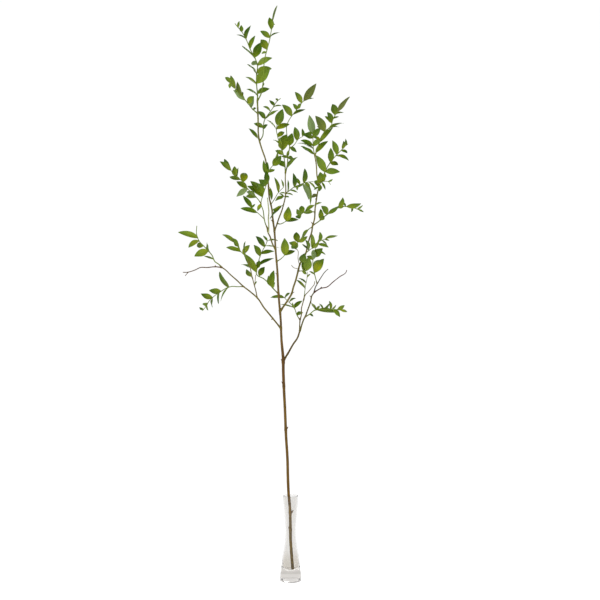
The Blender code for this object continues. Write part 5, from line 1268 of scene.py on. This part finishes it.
def flared(line, radii, root_radius):
    """The radii with a flare where the stem leaves its parent."""
    return [
        radius * (1 + FLARE * math.exp(-(length / (FLARE_REACH * root_radius)) ** 2))
        for radius, length in zip(radii, along_line(line))
    ]


def add_bud(form, route, base, tip, radius):
    """A small pointed bud set against its stem."""
    (_, _, depth, _), _ = nearest(route, *base)
    foot, point = spot(*base, depth), spot(*tip, depth - BUD_FORWARD)
    line = [foot + (point - foot) * share for share, _ in BUD_SHAPE]
    radii = [radius * wide for _, wide in BUD_SHAPE]
    tones = [blended(tone_at(base[1]), BUD_TONE, share) for share, _ in BUD_SHAPE]
    woody_tube(form, line, radii, tones, BUD_RING, BUD_ROUGH, base[0], BUD_END)


def build_bark(routes):
    """The main stem with its branches, buds and joints, as one woody piece."""
    form = Form()
    joints = {name: [] for name in routes}
    for name, parent, *_ in BRANCHES + SPRAYS:
        joints[parent].append(spot(*routes[name][0][:3]))
    for parent, base, _, _ in BUDS + SMALL_BUDS:
        (u, v, depth, _), _ = nearest(routes[parent], *base)
        joints[parent].append(spot(u, v, depth))
    line, radii, heights = stem_line(routes["main"])
    radii = swollen(line, radii, joints["main"], JOINT_SWELL, MAIN_JOINT_REACH)
    woody_tube(form, line, radii, [tone_at(v) for v in heights], MAIN_RING, MAIN_ROUGH, 0.0)
    for seed, (name, _, _, start_radius, _, _) in enumerate(BRANCHES, 1):
        line, radii, heights = stem_line(routes[name])
        radii = flared(line, radii, start_radius * BRANCH_ROOT)
        radii = swollen(line, radii, joints[name][1:], JOINT_SWELL, BRANCH_JOINT_REACH)
        own_tone, own_share = BRANCH_TONES.get(name, (BRANCH_OLIVE, OLIVE_SHARE))
        tones = [blended(tone_at(v), own_tone, own_share) for v in heights]
        woody_tube(form, line, radii, tones, BRANCH_RING, BRANCH_ROUGH, seed)
    for parent, base, tip, radius in BUDS + SMALL_BUDS:
        add_bud(form, routes[parent], base, tip, radius)
    bark = form.made("branch_bark", bark_look("bark", BARK_PORES))
    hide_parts("woody_stem")
    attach(bark, "root")


def build_sprays(routes, leaves):
    """Each leafy spray: its green twig and its leaves."""
    looks = leaf_look(), bark_look("green_twig", TWIG_PORES)
    for seed, (name, _, _, radius, _, _) in enumerate(SPRAYS):
        draw = random.Random(SPRAY_SEED + seed)
        form, twig = Form(), Form()
        line, radii, heights = stem_line(routes[name])
        radii = flared(line, radii, radius * TWIG_ROOT)
        radii = swollen(line, radii, [leaf.root for leaf in leaves[name]], NODE_SWELL, NODE_REACH)
        bark_tone = tone_at(heights[0])
        tones = [blended(bark_tone, TWIG_TONE, min(1.0, x / TWIG_GREENING)) for x in along_line(line)]
        woody_tube(twig, line, radii, tones, TWIG_RING, TWIG_ROUGH, seed)
        for leaf in leaves[name]:
            add_leaf(form, leaf, draw)
        piece = joined(form, twig, "leafy_" + name, looks)
        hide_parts(name)
        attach(piece, "root")
    form, draw = Form(), random.Random(WOOD_LEAF_SEED)
    for leaf in leaves["on_wood"]:
        add_leaf(form, leaf, draw)
    piece = form.made("leafy_on_wood", looks[0])
    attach(piece, "root")


def joined(blades, twig, name, looks):
    """One object of the blades, in the first material, and the twig, in the second."""
    blade_faces = len(blades.faces)
    blades.add(twig.points, twig.faces, twig.places, twig.tones)
    piece = blades.made(name, looks[0])
    piece.data.materials.append(looks[1])
    marks = [0] * blade_faces + [1] * (len(piece.data.polygons) - blade_faces)
    piece.data.polygons.foreach_set("material_index", marks)
    return piece


WHITE = (1.0, 1.0, 1.0, 1.0)
FLOOR_RADIUS, FLOOR_SIDES = 30, 96
FLOOR_TONE, FLOOR_ROUGHNESS, FLOOR_GLOW = (0.3, 0.3, 0.3, 1.0), 0.9, 0.86
WALL_LIGHT, CEILING_LIGHT, WALL_END, CEILING_START = 1.0, 0.3, 0.25, 0.75
BACKDROP_LIGHT = 1.02  # the white that the camera sees behind the part
# Soft lights: name, place, the point they look at, width and power.
LIGHTS = [
    ("key", (-1.5, -1.9, 2.4), (0, 0, 0.75), 1.1, 30),
    ("fill", (1.9, -1.4, 1.2), (0, 0, 0.7), 1.2, 7),
    ("back", (0.6, 1.9, 2.3), (0, 0, 0.8), 1.0, 14),
]
SENSOR_WIDTH, NEAREST_SEEN, FURTHEST_SEEN = 36.0, 0.05, 50.0


def build_floor():
    """A wide pale floor that runs out into white."""
    points, faces = [(0, 0, 0)], []
    for k in range(FLOOR_SIDES):
        angle = 2 * math.pi * k / FLOOR_SIDES
        points.append((FLOOR_RADIUS * math.cos(angle), FLOOR_RADIUS * math.sin(angle), 0))
        faces.append((0, k + 1, (k + 1) % FLOOR_SIDES + 1))
    mesh = bpy.data.meshes.new("studio_floor")
    mesh.from_pydata(points, [], faces)
    floor = bpy.data.objects.new("studio_floor", mesh)
    bpy.context.scene.collection.objects.link(floor)
    look = Look("studio_white")
    look.fill(look.shader, Base_Color=FLOOR_TONE, Roughness=FLOOR_ROUGHNESS)
    look.fill(look.shader, Emission_Color=WHITE, Emission_Strength=FLOOR_GLOW)
    mesh.materials.append(look.material)


def build_lights():
    """Soft studio light: bright walls, a dimmer ceiling and three round lights."""
    world = bpy.data.worlds.new("studio")
    bpy.context.scene.world = world
    world.use_nodes = True
    nodes = Nodes(world.node_tree)
    height = nodes.parts_of(nodes.node("TexCoord").outputs["Generated"])[2]
    light = nodes.scaled(height, WALL_END, CEILING_START, WALL_LIGHT, CEILING_LIGHT)
    walls = nodes.fill(world.node_tree.nodes["Background"], Color=WHITE, Strength=light)
    shown = nodes.node("Background", Color=WHITE, Strength=BACKDROP_LIGHT)
    camera_ray = nodes.node("LightPath").outputs["Is Camera Ray"]
    nodes.two_shaders(camera_ray, walls, shown, world.node_tree.nodes["World Output"])
    for name, place, aim, size, power in LIGHTS:
        data = bpy.data.lights.new(name, "AREA")
        data.shape = "DISK"
        data.size, data.energy = size, power
        lamp = bpy.data.objects.new(name, data)
        lamp.location = place
        lamp.rotation_euler = (Vector(aim) - Vector(place)).to_track_quat("-Z", "Y").to_euler()
        bpy.context.scene.collection.objects.link(lamp)


def build_camera():
    data = bpy.data.cameras.new("front")
    data.sensor_width = SENSOR_WIDTH
    data.lens = data.sensor_width * FOCUS / PICTURE_SIDE
    data.clip_start, data.clip_end = NEAREST_SEEN, FURTHEST_SEEN
    camera = bpy.data.objects.new("front", data)
    camera.location = eye()
    camera.rotation_euler = (math.radians(90), 0, 0)
    bpy.context.scene.collection.objects.link(camera)
    bpy.context.scene.camera = camera


def main():
    bpy.context.scene.view_settings.view_transform = "Standard"
    bpy.context.scene.view_settings.look = "None"
    build_camera()
    build_floor()
    build_lights()
    build_vase()
    routes, leaves = grown_branch()
    build_bark(routes)
    build_sprays(routes, leaves)


main()
